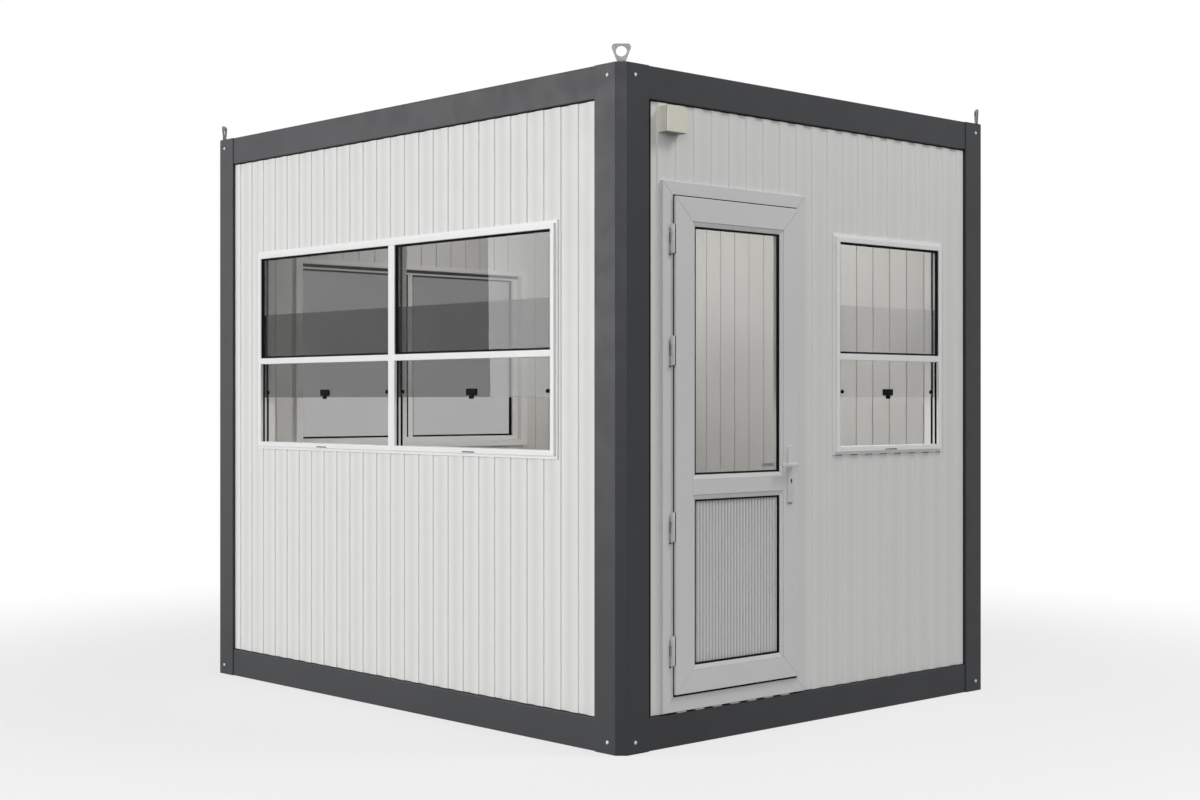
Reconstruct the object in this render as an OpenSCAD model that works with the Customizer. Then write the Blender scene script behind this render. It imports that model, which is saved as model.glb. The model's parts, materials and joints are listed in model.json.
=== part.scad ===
// Security guard booth: a steel framed cabin with insulated wall panels,
// guillotine sash windows and a glazed door in one end wall.
// Millimetres, +Z up, origin at the centre of the underside.
// The front faces -Y, the door is in the +X end wall, the back wall is plain.

/* [Overall] */
// Length along X over the corner posts
length = 2846; // [2400:1:4000]
// Width along Y over the corner posts
width = 2304; // [2000:1:3000]
// Height from the ground to the top of the frame
height = 2580; // [2300:1:3000]

/* [Steel frame] */
// Width of each face of a corner post
post_w = 147; // [125:1:190]
// Size of the bevel on a post's outer corner, along each face
post_bevel = 32; // [15:1:55]
// How far the rails sit back from the post faces
rail_setback = 4; // [1:1:10]
// Height of the rails along the top
top_rail_h = 125; // [105:1:160]
// Height of the rails along the ground
bottom_rail_h = 126; // [100:1:180]
// Diameter of a frame bolt's head
bolt_d = 14; // [8:1:24]
// How far a bolt's head stands out
bolt_head_t = 4; // [2:0.5:10]
// Height of the bolts from the nearer end of the post
bolt_inset = 44; // [20:1:90]

/* [Lifting eyes] */
// Height of a lifting eye above the post
eye_h = 69; // [56:1:90]
// Width of an eye across its top
eye_top_w = 72; // [60:1:90]
// Width of an eye where it is welded to the post
eye_base_w = 30; // [24:1:60]
// Thickness of an eye's plate
eye_t = 8; // [5:1:14]
// Radius of the rounded upper corners
eye_corner_r = 13; // [10:1:28]
// Diameter of the hole
eye_hole_d = 41; // [20:1:46]
// Height of the hole's centre above the post
eye_hole_up = 41; // [28:1:45]
// Distance of the eye's middle from both outer faces of the post
eye_inset = 28; // [26:1:45]

/* [Walls] */
// How far the wall panels sit back from the post faces
panel_setback = 15; // [8:1:30]
// Thickness of the insulated wall panels
panel_t = 50; // [40:1:90]

/* [Floor and roof] */
// Thickness of the floor board
floor_board_t = 18; // [10:1:30]
// Thickness of the roof sheet over its ribs
roof_sheet_t = 25; // [10:1:40]
// Thickness of the roof sheet between its ribs
roof_pan_t = 4; // [2:1:8]
// Distance from one roof rib to the next
roof_rib_pitch = 200; // [150:1:300]
// Width of a roof rib at its top
roof_rib_top_w = 44; // [20:1:60]
// Width of a roof rib at its foot
roof_rib_foot_w = 90; // [62:1:120]
// Depth of the roof sheet below the top of the rails
roof_drop = 20; // [0:1:40]

/* [Windows] */
// Gap between the top rail and the window frames
window_below_rail = 437; // [300:1:500]
// Height of the window frames
window_h = 925; // [800:1:1000]
// Width of a window frame's face
window_face = 34; // [25:1:50]
// How far the window frames stand in front of the post faces
window_proud = 2; // [0:1:12]
// Gap between each post and the front window
front_window_margin = 216; // [100:1:400]
// Width of the post in the middle of the front window
front_mullion = 45; // [30:1:80]
// Width of the wall between the door frame and the window beside it
door_to_window = 194; // [100:1:300]
// Distance of that window from the back face of the booth
side_window_from_back = 319; // [250:1:360]
// Gap between each post and the window in the far end wall
left_window_margin = 268; // [150:1:400]
// Width of the post in the middle of that window
left_mullion = 40; // [30:1:90]
// Height of the cross bar of a sash window
transom_h = 27; // [18:1:50]
// Height of the cross bar above the frame's underside
transom_up = 397; // [300:1:500]
// Thickness of the window glass
glass_t = 4; // [3:0.5:6]
// Depth of the fixed panes behind the frame's face
fixed_pane_inset = 16; // [8:1:24]
// Gap between the fixed pane and the sliding pane
pane_gap = 2; // [1:0.5:5]
// Height of the sliding pane
sash_h = 386; // [300:1:420]
// How far the sliding pane is raised off its frame
sash_lift = 207; // [0:1:350]

/* [Window fittings] */
// Width of the latch on a sliding pane
latch_w = 64; // [40:1:100]
// Height of the latch
latch_h = 28; // [15:1:45]
// Width of the latch's finger tab
latch_tab_w = 22; // [10:1:36]
// Height of the finger tab
latch_tab_h = 14; // [6:1:24]
// How far the finger tab hangs below the pane's edge
latch_drop = 7; // [2:1:12]
// How far latch and knobs stand out from the glass
latch_t = 8; // [4:1:12]
// Diameter of the pull knobs
knob_d = 16; // [14:1:26]
// Distance of a knob from the edge of its opening
knob_inset = 34; // [14:1:80]
// Height of the knobs above the pane's lower edge
knob_up = 23; // [14:1:60]

/* [Door frame] */
// Distance of the door frame from the front face of the booth
door_from_front = 217; // [200:1:260]
// Width of the door frame
door_frame_w = 823; // [760:1:860]
// Gap between the top rail and the door frame
door_below_rail = 300; // [250:1:420]
// Gap between the bottom rail and the door frame
door_lift = 7; // [5:1:20]
// Width of the door frame's face
door_frame_face = 66; // [45:1:80]
// How far the door frame stands in front of the post faces
door_frame_proud = 2; // [0:1:8]

/* [Door leaf] */
// How far the leaf laps over its frame
leaf_overlap = 10; // [6:1:16]
// Gap between the leaf's lap and the frame
leaf_gap = 5; // [5:0.5:8]
// Gap around the leaf inside its frame
leaf_side_gap = 7; // [7:0.5:12]
// Thickness of the lapping front of the leaf
leaf_lap_t = 10; // [6:1:14]
// Thickness of the leaf behind its lap
leaf_body_t = 34; // [26:1:45]
// Face width of the stiles and the top rail
leaf_stile = 92; // [84:1:110]
// Face width of the bottom rail
leaf_bottom_rail = 97; // [70:1:140]
// Height of the middle rail's underside above the leaf's lower edge
mid_rail_up = 768; // [600:1:900]
// Face height of the middle rail
mid_rail_h = 59; // [40:1:100]
// Width of the glazing beads
bead_w = 18; // [10:1:24]
// Depth of glass and panel behind the beads
glazing_inset = 6; // [2:1:10]
// Thickness of the door's glass
door_glass_t = 6; // [4:1:20]
// Thickness of the door's lower panel
door_panel_t = 18; // [8:1:24]

/* [Hinges] */
// Height of a hinge
hinge_h = 112; // [80:1:140]
// Diameter of a hinge barrel
hinge_d = 16; // [12:1:20]
// Diameter of a hinge pin
hinge_pin_d = 8; // [5:0.5:9]
// Clearance all round a hinge pin
hinge_play = 0.08; // [0.02:0.01:0.1]
// Gap between the knuckles of a hinge
hinge_gap = 0.6; // [0.3:0.1:2]
// Thickness of the hinge plates
hinge_plate_t = 3; // [2:0.5:5]
// Reach of a hinge plate from the pin, along the wall
hinge_plate_w = 18; // [14:1:44]
// Distance of the pins from the leaf's edge
hinge_axis_out = 11; // [11:0.5:16]
// Height of the lowest hinge above the leaf's lower edge
hinge_1_up = 179; // [100:1:300]
// Height of the second hinge above the leaf's lower edge
hinge_2_up = 650; // [450:1:900]
// Depth of the third hinge below the leaf's upper edge
hinge_3_down = 589; // [450:1:750]
// Depth of the highest hinge below the leaf's upper edge
hinge_4_down = 163; // [100:1:300]

/* [Door handle] */
// Width of a handle plate
handle_plate_w = 34; // [26:1:50]
// Height of a handle plate
handle_plate_h = 230; // [180:1:280]
// Thickness of a handle plate
handle_plate_t = 8; // [4:1:14]
// Height of the spindle above the plate's lower end
spindle_in_plate = 154; // [100:1:165]
// Height of the spindle above the leaf's lower edge
spindle_up = 872; // [700:1:1000]
// Distance of the spindle from the leaf's free edge
spindle_in = 55; // [45:1:65]
// Diameter of the spindle
spindle_d = 10; // [6:0.5:12]
// Clearance all round the spindle inside the leaf
spindle_room = 2; // [1:0.5:4]
// Diameter of a lever's neck
neck_d = 18; // [14:1:24]
// Clearance all round a neck inside its plate
neck_play = 0.08; // [0.02:0.01:0.1]
// Gap between a neck's end and the leaf
neck_gap = 1; // [0.5:0.5:3]
// Length of a lever from its spindle
lever_l = 86; // [70:1:130]
// Height of a lever
lever_h = 17; // [10:1:20]
// Depth of a lever
lever_t = 14; // [8:1:18]
// Distance of the outer lever's middle from the leaf
lever_reach = 34; // [28:1:60]
// Distance of the inner lever's middle from the leaf
lever_reach_inside = 33; // [30:1:60]

/* [Junction box] */
// Width of the junction box over the door
box_w = 108; // [60:1:140]
// Height of the junction box
box_h = 98; // [60:1:110]
// Depth of the junction box off the wall
box_depth = 48; // [25:1:80]
// Distance of the box from the front face of the booth
box_from_front = 209; // [195:1:700]
// Gap between the box and the top rail
box_below_rail = 20; // [5:1:40]

/* [Hidden] */
$fn = 48;
cut = 1;

// The wall's full depth, from the post face to the room
wall_depth = panel_setback + panel_t;
// Half sizes between the posts, and of the room
half_span_x = length / 2 - post_w;
half_span_y = width / 2 - post_w;
room_x = length / 2 - wall_depth;
room_y = width / 2 - wall_depth;
wall_z = [bottom_rail_h, height - top_rail_h];
panel_y = [panel_setback, wall_depth];
rail_y = [rail_setback, wall_depth];
floor_z = bottom_rail_h - floor_board_t;
roof_z = height - roof_drop;

// The roof sheet's ribs, across the room and up from the sheet's underside
roof_ribs = floor(2 * room_x / roof_rib_pitch);
roof_rib = [
    [-roof_rib_foot_w / 2, roof_pan_t], [-roof_rib_top_w / 2, roof_sheet_t],
    [roof_rib_top_w / 2, roof_sheet_t], [roof_rib_foot_w / 2, roof_pan_t]
];
roof_ribs_line = [
    for (i = [0:roof_ribs - 1])
        for (point = roof_rib)
            [(i + 0.5) * roof_rib_pitch - room_x + point[0], point[1]]
];

// Door frame, along the end wall and upward
door_u = [for (w = [0, door_frame_w]) door_from_front - width / 2 + w];
door_z = [wall_z[0] + door_lift, wall_z[1] - door_below_rail];

// Windows, along their own wall, upward and inward
front_window_w = 2 * (half_span_x - front_window_margin);
left_window_w = 2 * (half_span_y - left_window_margin);
side_window_w = width / 2 - side_window_from_back - door_u[1] - door_to_window;
side_window_u = width / 2 - side_window_from_back - side_window_w / 2;
window_z = [for (h = [window_h, 0]) wall_z[1] - window_below_rail - h];
pane_z = inset(window_z, window_face);
transom_z = [for (h = [0, transom_h]) window_z[0] + transom_up + h];
window_y = [-window_proud, wall_depth];
through_window = inset(window_y, -cut);
fixed_pane_y = [for (d = [0, glass_t]) fixed_pane_inset - window_proud + d];
behind_panes = [fixed_pane_y[1], through_window[1]];
sash_y = [for (d = [0, glass_t]) fixed_pane_y[1] + pane_gap + d];
sash_z = [for (h = [0, sash_h]) pane_z[0] + sash_lift + h];

// Door leaf, along the end wall, inward and upward
clear_u = inset(door_u, door_frame_face);
clear_z = inset(door_z, door_frame_face);
leaf_u = inset(clear_u, -leaf_overlap);
leaf_z = inset(clear_z, -leaf_overlap);
lap_y = [-door_frame_proud - leaf_gap - leaf_lap_t, -door_frame_proud - leaf_gap];
leaf_inside = lap_y[1] + leaf_body_t;
body_u = inset(clear_u, leaf_side_gap);
body_z = inset(clear_z, leaf_side_gap);
bay_u = inset(leaf_u, leaf_stile);
upper_bay_z = [leaf_z[0] + mid_rail_up + mid_rail_h, leaf_z[1] - leaf_stile];
lower_bay_z = [leaf_z[0] + leaf_bottom_rail, leaf_z[0] + mid_rail_up];
glazing_y = lap_y[1] + glazing_inset;

// Hinges and handle
hinge_u = leaf_u[0] - hinge_axis_out;
hinge_y = lap_y[0] - hinge_plate_t + hinge_d / 2;
knuckle_h = (hinge_h - 2 * hinge_gap) / 3;
hinge_heights = [
    leaf_z[0] + hinge_1_up,
    leaf_z[0] + hinge_2_up,
    leaf_z[1] - hinge_3_down,
    leaf_z[1] - hinge_4_down
];
handle_u = leaf_u[1] - spindle_in;
handle_z = leaf_z[0] + spindle_up;
plate_z = [for (h = [0, handle_plate_h]) handle_z - spindle_in_plate + h];

STEEL = "#55575a";
GALVANISED = "#8c8c8c";
PANEL = "#dededb";
PVC = "#e8e8e6";
GLASS = [0.55, 0.58, 0.6, 0.45];
BLACK = "#1c1c1d";
FLOOR = "#8b8680";
CREAM = "#cfcfba";
BOLT = "#e6e6e4";

// A [from, to] pair with both ends moved inward
function inset(pair, by) = [pair[0] + by, pair[1] - by];
// Width of one opening of a window
function opening_w(w, bays, mullion) = (w - 2 * window_face - (bays - 1) * mullion) / bays;
// The [from, to] of opening number i, along the wall from the window's middle
function opening_u(i, w, bays, mullion) =
    let (from = window_face - w / 2 + i * (opening_w(w, bays, mullion) + mullion))
    [from, from + opening_w(w, bays, mullion)];

// Each wall has its own axes: X along it to the right as seen from outside,
// Y inward from the post faces, and Z up.
module on_front() { translate([0, -width / 2, 0]) children(); }
module on_door_end() { translate([length / 2, 0, 0]) rotate([0, 0, 90]) children(); }
module on_back() { translate([0, width / 2, 0]) rotate([0, 0, 180]) children(); }
module on_left_end() { translate([-length / 2, 0, 0]) rotate([0, 0, 270]) children(); }

// Each corner has its own axes, with X and Y running inward along its two walls.
module at_front_left() { translate([-length / 2, -width / 2, 0]) children(); }
module at_front_right() { translate([length / 2, -width / 2, 0]) rotate([0, 0, 90]) children(); }
module at_back_right() { translate([length / 2, width / 2, 0]) rotate([0, 0, 180]) children(); }
module at_back_left() { translate([-length / 2, width / 2, 0]) rotate([0, 0, 270]) children(); }

// A box between three [from, to] pairs
module slab(u, y, z) {
    translate([u[0], y[0], z[0]])
        cube([u[1] - u[0], y[1] - y[0], z[1] - z[0]]);
}

// A round bar along Y, between a [from, to] pair
module round_bar(u, y, z, d) {
    translate([u, y[0], z])
        rotate([-90, 0, 0])
            cylinder(d = d, h = y[1] - y[0]);
}

// A wall panel between two heights
module panel(u, z) {
    color(PANEL) slab(u, panel_y, z);
}

// A post of folded steel that wraps the corner outside the room
module corner_post() {
    color(STEEL)
        linear_extrude(height)
            polygon([
                [post_bevel, 0], [post_w, 0], [post_w, wall_depth], [wall_depth, wall_depth],
                [wall_depth, post_w], [0, post_w], [0, post_bevel]
            ]);
}

module top_rail(half_span) {
    color(STEEL) slab([-half_span, half_span], rail_y, [wall_z[1], height]);
}

module bottom_rail(half_span) {
    color(STEEL) slab([-half_span, half_span], rail_y, [0, wall_z[0]]);
}

// A plate on the corner's diagonal, with a hole for a shackle
module lifting_eye() {
    translate([eye_inset, eye_inset, height])
        rotate([0, 0, -45])
            difference() {
                rotate([90, 0, 0])
                    linear_extrude(eye_t, center = true)
                        hull() {
                            translate([-eye_base_w / 2, 0])
                                square([eye_base_w, eye_corner_r / 4]);
                            for (side = [-1, 1])
                                translate([side * (eye_top_w / 2 - eye_corner_r), eye_h - eye_corner_r])
                                    circle(eye_corner_r, $fn = 32);
                        }
                round_bar(0, [-eye_t, eye_t], eye_hole_up, eye_hole_d);
            }
}

module lifting_eyes() {
    color(GALVANISED) {
        at_front_left() lifting_eye();
        at_front_right() lifting_eye();
        at_back_right() lifting_eye();
        at_back_left() lifting_eye();
    }
}

// The bolts near both ends of the two posts of one wall
module wall_bolts(half_wall) {
    for (u = [post_w / 2 - half_wall, half_wall - post_w / 2])
        for (z = [bolt_inset, height - bolt_inset])
            round_bar(u, [-bolt_head_t, 0], z, bolt_d);
}

module frame_bolts() {
    color(BOLT) {
        on_front() wall_bolts(length / 2);
        on_back() wall_bolts(length / 2);
        on_door_end() wall_bolts(width / 2);
        on_left_end() wall_bolts(width / 2);
    }
}

// A plate as large as the room
module room_plate(z) {
    slab([-room_x, room_x], [-room_y, room_y], z);
}

module floor_cassette() { color(FLOOR) room_plate([0, floor_z]); }
module floor_board() { color(FLOOR) room_plate([floor_z, wall_z[0]]); }
module ceiling_cassette() { color(PANEL) room_plate([wall_z[1], roof_z - roof_sheet_t]); }

// A sheet with trapezoid ribs from the front to the back
module roof_sheet() {
    color(GALVANISED)
        translate([0, room_y, roof_z - roof_sheet_t])
            rotate([90, 0, 0])
                linear_extrude(2 * room_y)
                    polygon(concat(
                        [[-room_x, 0], [-room_x, roof_pan_t]],
                        roof_ribs_line,
                        [[room_x, roof_pan_t], [room_x, 0]]
                    ));
}

module front_wall_sides() {
    on_front() {
        panel([-half_span_x, -front_window_w / 2], wall_z);
        panel([front_window_w / 2, half_span_x], wall_z);
    }
}

// Panels below and above a window
module panels_around(u) {
    panel(u, [wall_z[0], window_z[0]]);
    panel(u, [window_z[1], wall_z[1]]);
}

module front_wall_centre() {
    on_front() panels_around([-front_window_w / 2, front_window_w / 2]);
}

module back_wall() {
    on_back() panel([-half_span_x, half_span_x], wall_z);
}

module left_wall_sides() {
    on_left_end() {
        panel([-half_span_y, -left_window_w / 2], wall_z);
        panel([left_window_w / 2, half_span_y], wall_z);
    }
}

module left_wall_centre() {
    on_left_end() panels_around([-left_window_w / 2, left_window_w / 2]);
}

module door_wall_uprights() {
    on_door_end() {
        panel([-half_span_y, door_u[0]], wall_z);
        panel([door_u[1], side_window_u - side_window_w / 2], wall_z);
        panel([side_window_u + side_window_w / 2, half_span_y], wall_z);
    }
}

module door_wall_short_panels() {
    on_door_end() {
        panel(door_u, [wall_z[0], door_z[0]]);
        panel(door_u, [door_z[1], wall_z[1]]);
        panels_around([for (side = [-1, 1]) side_window_u + side * side_window_w / 2]);
    }
}

// A window frame with openings side by side, each with a shallow cross bar
module sash_window_frame(w, bays, mullion) {
    color(PVC)
        difference() {
            slab([-w / 2, w / 2], window_y, window_z);
            for (i = [0 : bays - 1]) {
                u = opening_u(i, w, bays, mullion);
                slab(u, through_window, [pane_z[0], transom_z[0]]);
                slab(u, through_window, [transom_z[1], pane_z[1]]);
                slab(u, behind_panes, pane_z);
            }
        }
}

module window_panes(w, bays, mullion, y, z) {
    color(GLASS)
        for (i = [0 : bays - 1])
            slab(opening_u(i, w, bays, mullion), y, z);
}

// The latch and the two pull knobs on the outside of each sliding pane
module window_latches(w, bays, mullion) {
    out_y = [sash_y[0] - latch_t, sash_y[0]];
    tab_z = sash_z[0] - latch_drop;
    color(BLACK)
        for (i = [0 : bays - 1]) {
            u = opening_u(i, w, bays, mullion);
            middle = (u[0] + u[1]) / 2;
            latch_z = tab_z + latch_tab_h;
            slab([middle - latch_w / 2, middle + latch_w / 2], out_y, [latch_z, latch_z + latch_h]);
            slab([middle - latch_tab_w / 2, middle + latch_tab_w / 2], out_y, [tab_z, latch_z + cut]);
            for (knob_u = inset(u, knob_inset))
                round_bar(knob_u, out_y, sash_z[0] + knob_up, knob_d);
        }
}

module at_side_window() {
    on_door_end() translate([side_window_u, 0, 0]) children();
}

module front_window_frame() { on_front() sash_window_frame(front_window_w, 2, front_mullion); }
module front_window_fixed_panes() {
    on_front() window_panes(front_window_w, 2, front_mullion, fixed_pane_y, [transom_z[1], pane_z[1]]);
}
module front_window_sliding_panes() {
    on_front() window_panes(front_window_w, 2, front_mullion, sash_y, sash_z);
}
module front_window_latches() { on_front() window_latches(front_window_w, 2, front_mullion); }
module side_window_frame() { at_side_window() sash_window_frame(side_window_w, 1, 0); }
module side_window_fixed_pane() {
    at_side_window() window_panes(side_window_w, 1, 0, fixed_pane_y, [transom_z[1], pane_z[1]]);
}
module side_window_sliding_pane() { at_side_window() window_panes(side_window_w, 1, 0, sash_y, sash_z); }
module side_window_latch() { at_side_window() window_latches(side_window_w, 1, 0); }

// A frame whose middle post is only as deep as the panes
module left_window_frame() {
    outer_u = [-left_window_w / 2, left_window_w / 2];
    color(PVC)
        on_left_end()
            difference() {
                slab(outer_u, window_y, window_z);
                for (i = [0, 1])
                    slab(opening_u(i, left_window_w, 2, left_mullion), through_window, pane_z);
                slab(inset(outer_u, window_face), behind_panes, pane_z);
            }
}

module left_window_panes() {
    on_left_end() window_panes(left_window_w, 2, left_mullion, fixed_pane_y, pane_z);
}

module door_frame() {
    y = [-door_frame_proud, wall_depth];
    color(PVC)
        on_door_end()
            difference() {
                slab(door_u, y, door_z);
                slab(clear_u, inset(y, -cut), clear_z);
            }
}

// A leaf whose front laps over the frame, with a glazed bay over a panelled one
module door_leaf() {
    lap_cut = [lap_y[0] - cut, lap_y[1]];
    through = [lap_y[0] - cut, leaf_inside + cut];
    color(PVC)
        on_door_end()
            difference() {
                union() {
                    slab(leaf_u, lap_y, leaf_z);
                    slab(body_u, [lap_y[0], leaf_inside], body_z);
                }
                for (z = [upper_bay_z, lower_bay_z]) {
                    slab(bay_u, lap_cut, z);
                    slab(inset(bay_u, bead_w), through, inset(z, bead_w));
                }
                round_bar(handle_u, through, handle_z, spindle_d + 2 * spindle_room);
            }
}

// A sheet held by the beads of one of the leaf's bays
module leaf_filling(z, t) {
    on_door_end()
        slab(inset(bay_u, bead_w), [glazing_y, glazing_y + t], inset(z, bead_w));
}

module door_glass() { color(GLASS) leaf_filling(upper_bay_z, door_glass_t); }
module door_lower_panel() { color(PVC) leaf_filling(lower_bay_z, door_panel_t); }

module handle_plate(y) {
    difference() {
        slab([handle_u - handle_plate_w / 2, handle_u + handle_plate_w / 2], y, plate_z);
        round_bar(handle_u, inset(y, -cut), handle_z, neck_d + 2 * neck_play);
    }
}

module door_handle_plates() {
    color(PVC)
        on_door_end() {
            handle_plate([lap_y[0] - handle_plate_t, lap_y[0]]);
            handle_plate([leaf_inside, leaf_inside + handle_plate_t]);
        }
}

// One lever: a bar that points at the hinges, centred on y
module lever_bar(y) {
    depth = [y - lever_t / 2, y + lever_t / 2];
    slab([handle_u - lever_l, handle_u], depth, [handle_z - lever_h / 2, handle_z + lever_h / 2]);
}

// Both levers, their necks and the spindle that joins them through the leaf
module door_lever() {
    outer_y = lap_y[0] - lever_reach;
    inner_y = leaf_inside + lever_reach_inside;
    color(PVC)
        on_door_end() {
            lever_bar(outer_y);
            lever_bar(inner_y);
            round_bar(handle_u, [outer_y - lever_t / 2, lap_y[0] - neck_gap], handle_z, neck_d);
            round_bar(handle_u, [leaf_inside + neck_gap, inner_y + lever_t / 2], handle_z, neck_d);
            round_bar(handle_u, [outer_y, inner_y], handle_z, spindle_d);
        }
}

// One knuckle of a hinge, number 0 to 2 from below, around the hinge's middle
module knuckle(i, d) {
    translate([hinge_u, hinge_y, i * (knuckle_h + hinge_gap) - hinge_h / 2])
        cylinder(d = d, h = knuckle_h);
}

function knuckle_z(i) = [for (h = [0, knuckle_h]) i * (knuckle_h + hinge_gap) - hinge_h / 2 + h];

// The lower and upper knuckles, their pads on the door frame, and the pin
module hinge_frame_half() {
    face_y = -door_frame_proud;
    for (i = [0, 2]) {
        knuckle(i, hinge_d);
        slab([hinge_u - hinge_plate_w, hinge_u], [face_y - hinge_plate_t, face_y], knuckle_z(i));
        slab([hinge_u - hinge_d / 2, hinge_u], [hinge_y, face_y], knuckle_z(i));
    }
    translate([hinge_u, hinge_y, -hinge_h / 2])
        cylinder(d = hinge_pin_d, h = hinge_h);
}

// The middle knuckle and its plate on the leaf
module hinge_leaf_half() {
    difference() {
        union() {
            knuckle(1, hinge_d);
            slab([hinge_u, hinge_u + hinge_plate_w], [lap_y[0] - hinge_plate_t, lap_y[0]], knuckle_z(1));
        }
        translate([hinge_u, hinge_y, -hinge_h / 2])
            cylinder(d = hinge_pin_d + 2 * hinge_play, h = hinge_h);
    }
}

module at_hinges() {
    on_door_end()
        for (z = hinge_heights)
            translate([0, 0, z]) children();
}

module door_hinge_frame_halves() { color(PVC) at_hinges() hinge_frame_half(); }
module door_hinge_leaf_halves() { color(PVC) at_hinges() hinge_leaf_half(); }

module junction_box() {
    u = box_from_front - width / 2;
    top = wall_z[1] - box_below_rail;
    color(CREAM)
        on_door_end()
            slab([u, u + box_w], [panel_setback - box_depth, panel_setback], [top - box_h, top]);
}

at_front_left() corner_post();  // corner_post_front_left
at_front_right() corner_post();  // corner_post_front_right
at_back_right() corner_post();  // corner_post_back_right
at_back_left() corner_post();  // corner_post_back_left
on_front() top_rail(half_span_x);  // top_rail_front
on_door_end() top_rail(half_span_y);  // top_rail_door_end
on_back() top_rail(half_span_x);  // top_rail_back
on_left_end() top_rail(half_span_y);  // top_rail_left_end
on_front() bottom_rail(half_span_x);  // bottom_rail_front
on_door_end() bottom_rail(half_span_y);  // bottom_rail_door_end
on_back() bottom_rail(half_span_x);  // bottom_rail_back
on_left_end() bottom_rail(half_span_y);  // bottom_rail_left_end
lifting_eyes();
frame_bolts();
floor_cassette();
floor_board();
ceiling_cassette();
roof_sheet();
front_wall_sides();
front_wall_centre();
back_wall();
left_wall_sides();
left_wall_centre();
door_wall_uprights();
door_wall_short_panels();
front_window_frame();
front_window_fixed_panes();
front_window_sliding_panes();
front_window_latches();
side_window_frame();
side_window_fixed_pane();
side_window_sliding_pane();
side_window_latch();
left_window_frame();
left_window_panes();
door_frame();
door_leaf();
door_glass();
door_lower_panel();
door_handle_plates();
door_lever();
door_hinge_frame_halves();
door_hinge_leaf_halves();
junction_box();
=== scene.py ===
"""Looks of a security guard booth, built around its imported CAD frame.

Lengths are in metres. The front faces -Y, the door end faces +X, the back faces +Y.
"""

import json
import math

import bmesh
import bpy
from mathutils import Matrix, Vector


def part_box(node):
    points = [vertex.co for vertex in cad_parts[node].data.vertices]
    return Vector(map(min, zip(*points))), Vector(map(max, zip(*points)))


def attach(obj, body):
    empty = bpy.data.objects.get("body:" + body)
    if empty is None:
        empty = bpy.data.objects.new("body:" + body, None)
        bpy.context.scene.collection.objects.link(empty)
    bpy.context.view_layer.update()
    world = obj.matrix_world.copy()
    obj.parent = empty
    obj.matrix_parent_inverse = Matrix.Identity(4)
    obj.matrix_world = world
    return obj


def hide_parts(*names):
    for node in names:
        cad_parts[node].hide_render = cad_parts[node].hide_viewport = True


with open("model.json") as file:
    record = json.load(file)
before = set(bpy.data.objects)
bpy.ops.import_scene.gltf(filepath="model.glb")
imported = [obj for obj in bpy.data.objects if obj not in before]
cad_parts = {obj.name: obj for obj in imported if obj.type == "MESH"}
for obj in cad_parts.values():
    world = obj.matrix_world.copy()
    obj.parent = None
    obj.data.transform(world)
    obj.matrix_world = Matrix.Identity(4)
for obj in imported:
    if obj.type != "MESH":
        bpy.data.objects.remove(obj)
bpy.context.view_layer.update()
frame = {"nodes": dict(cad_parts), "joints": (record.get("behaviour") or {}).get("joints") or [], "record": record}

UP = Vector((0, 0, 1))
SAME_POINT = 1e-6
SAME_PLACE = 1e-4
DIGITS = 4
RIB_PITCH = 0.100


# Reading the frame

def levels(node, axis):
    """The different coordinates of a CAD node's corners along one axis, sorted."""
    return sorted({round(v.co[axis], DIGITS) for v in frame["nodes"][node].data.vertices})


def solid_boxes(node):
    """(lowest corner, highest corner) of each solid of a CAD node, sorted by place."""
    bm = bmesh.new()
    bm.from_mesh(frame["nodes"][node].data)
    bmesh.ops.remove_doubles(bm, verts=bm.verts, dist=SAME_POINT)
    left = set(bm.verts)
    boxes = []
    while left:
        island = []
        front = [left.pop()]
        while front:
            vert = front.pop()
            island.append(vert.co.copy())
            near = [e.other_vert(vert) for e in vert.link_edges]
            fresh = {n for n in near if n in left}
            left -= fresh
            front.extend(fresh)
        lo = Vector([min(c[i] for c in island) for i in range(3)])
        hi = Vector([max(c[i] for c in island) for i in range(3)])
        boxes.append((lo, hi))
    bm.free()
    return sorted(boxes, key=lambda b: [round(x, DIGITS) for x in b[0]])


post_x = levels("corner_post_front_right", 0)
HALF_L = post_x[-1]
HALF_W = -levels("corner_post_front_right", 1)[0]
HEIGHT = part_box("corner_post_front_right")[1].z
POST_W = HALF_L - post_x[0]
POST_BEVEL = HALF_L - post_x[-2]
WALL_DEPTH = HALF_L - post_x[1]
RAIL_D = -HALF_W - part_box("top_rail_front")[0].y
PANEL_D = -HALF_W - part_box("front_wall_centre")[0].y
WALL_Z = (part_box("bottom_rail_front")[1].z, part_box("top_rail_front")[0].z)
JOINT = {j["name"]: j for j in frame["joints"]}


class Wall:
    """A wall's own axes: u to the right as seen from outside, d outward from the post faces, z up."""

    def __init__(self, origin, right, out, half, rib_way):
        self.origin = Vector(origin)
        self.right = Vector(right)
        self.out = Vector(out)
        self.half = half
        self.rib_way = rib_way

    def at(self, u, d, z):
        return self.origin + self.right * u + self.out * d + UP * z

    def spans(self, box):
        """The (from, to) of a box along u, d and z."""
        ends = [[(p - self.origin).dot(axis) for p in box] for axis in (self.right, self.out)]
        return [tuple(sorted(e)) for e in ends] + [(box[0].z, box[1].z)]


FRONT = Wall((0, -HALF_W, 0), (1, 0, 0), (0, -1, 0), HALF_L, -1)
DOOR_END = Wall((HALF_L, 0, 0), (0, 1, 0), (1, 0, 0), HALF_W, 1)
BACK = Wall((0, HALF_W, 0), (-1, 0, 0), (0, 1, 0), HALF_L, 1)
LEFT_END = Wall((-HALF_L, 0, 0), (0, -1, 0), (-1, 0, 0), HALF_W, -1)
WALLS = {"front": FRONT, "door_end": DOOR_END, "back": BACK, "left_end": LEFT_END}


# Materials

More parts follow.
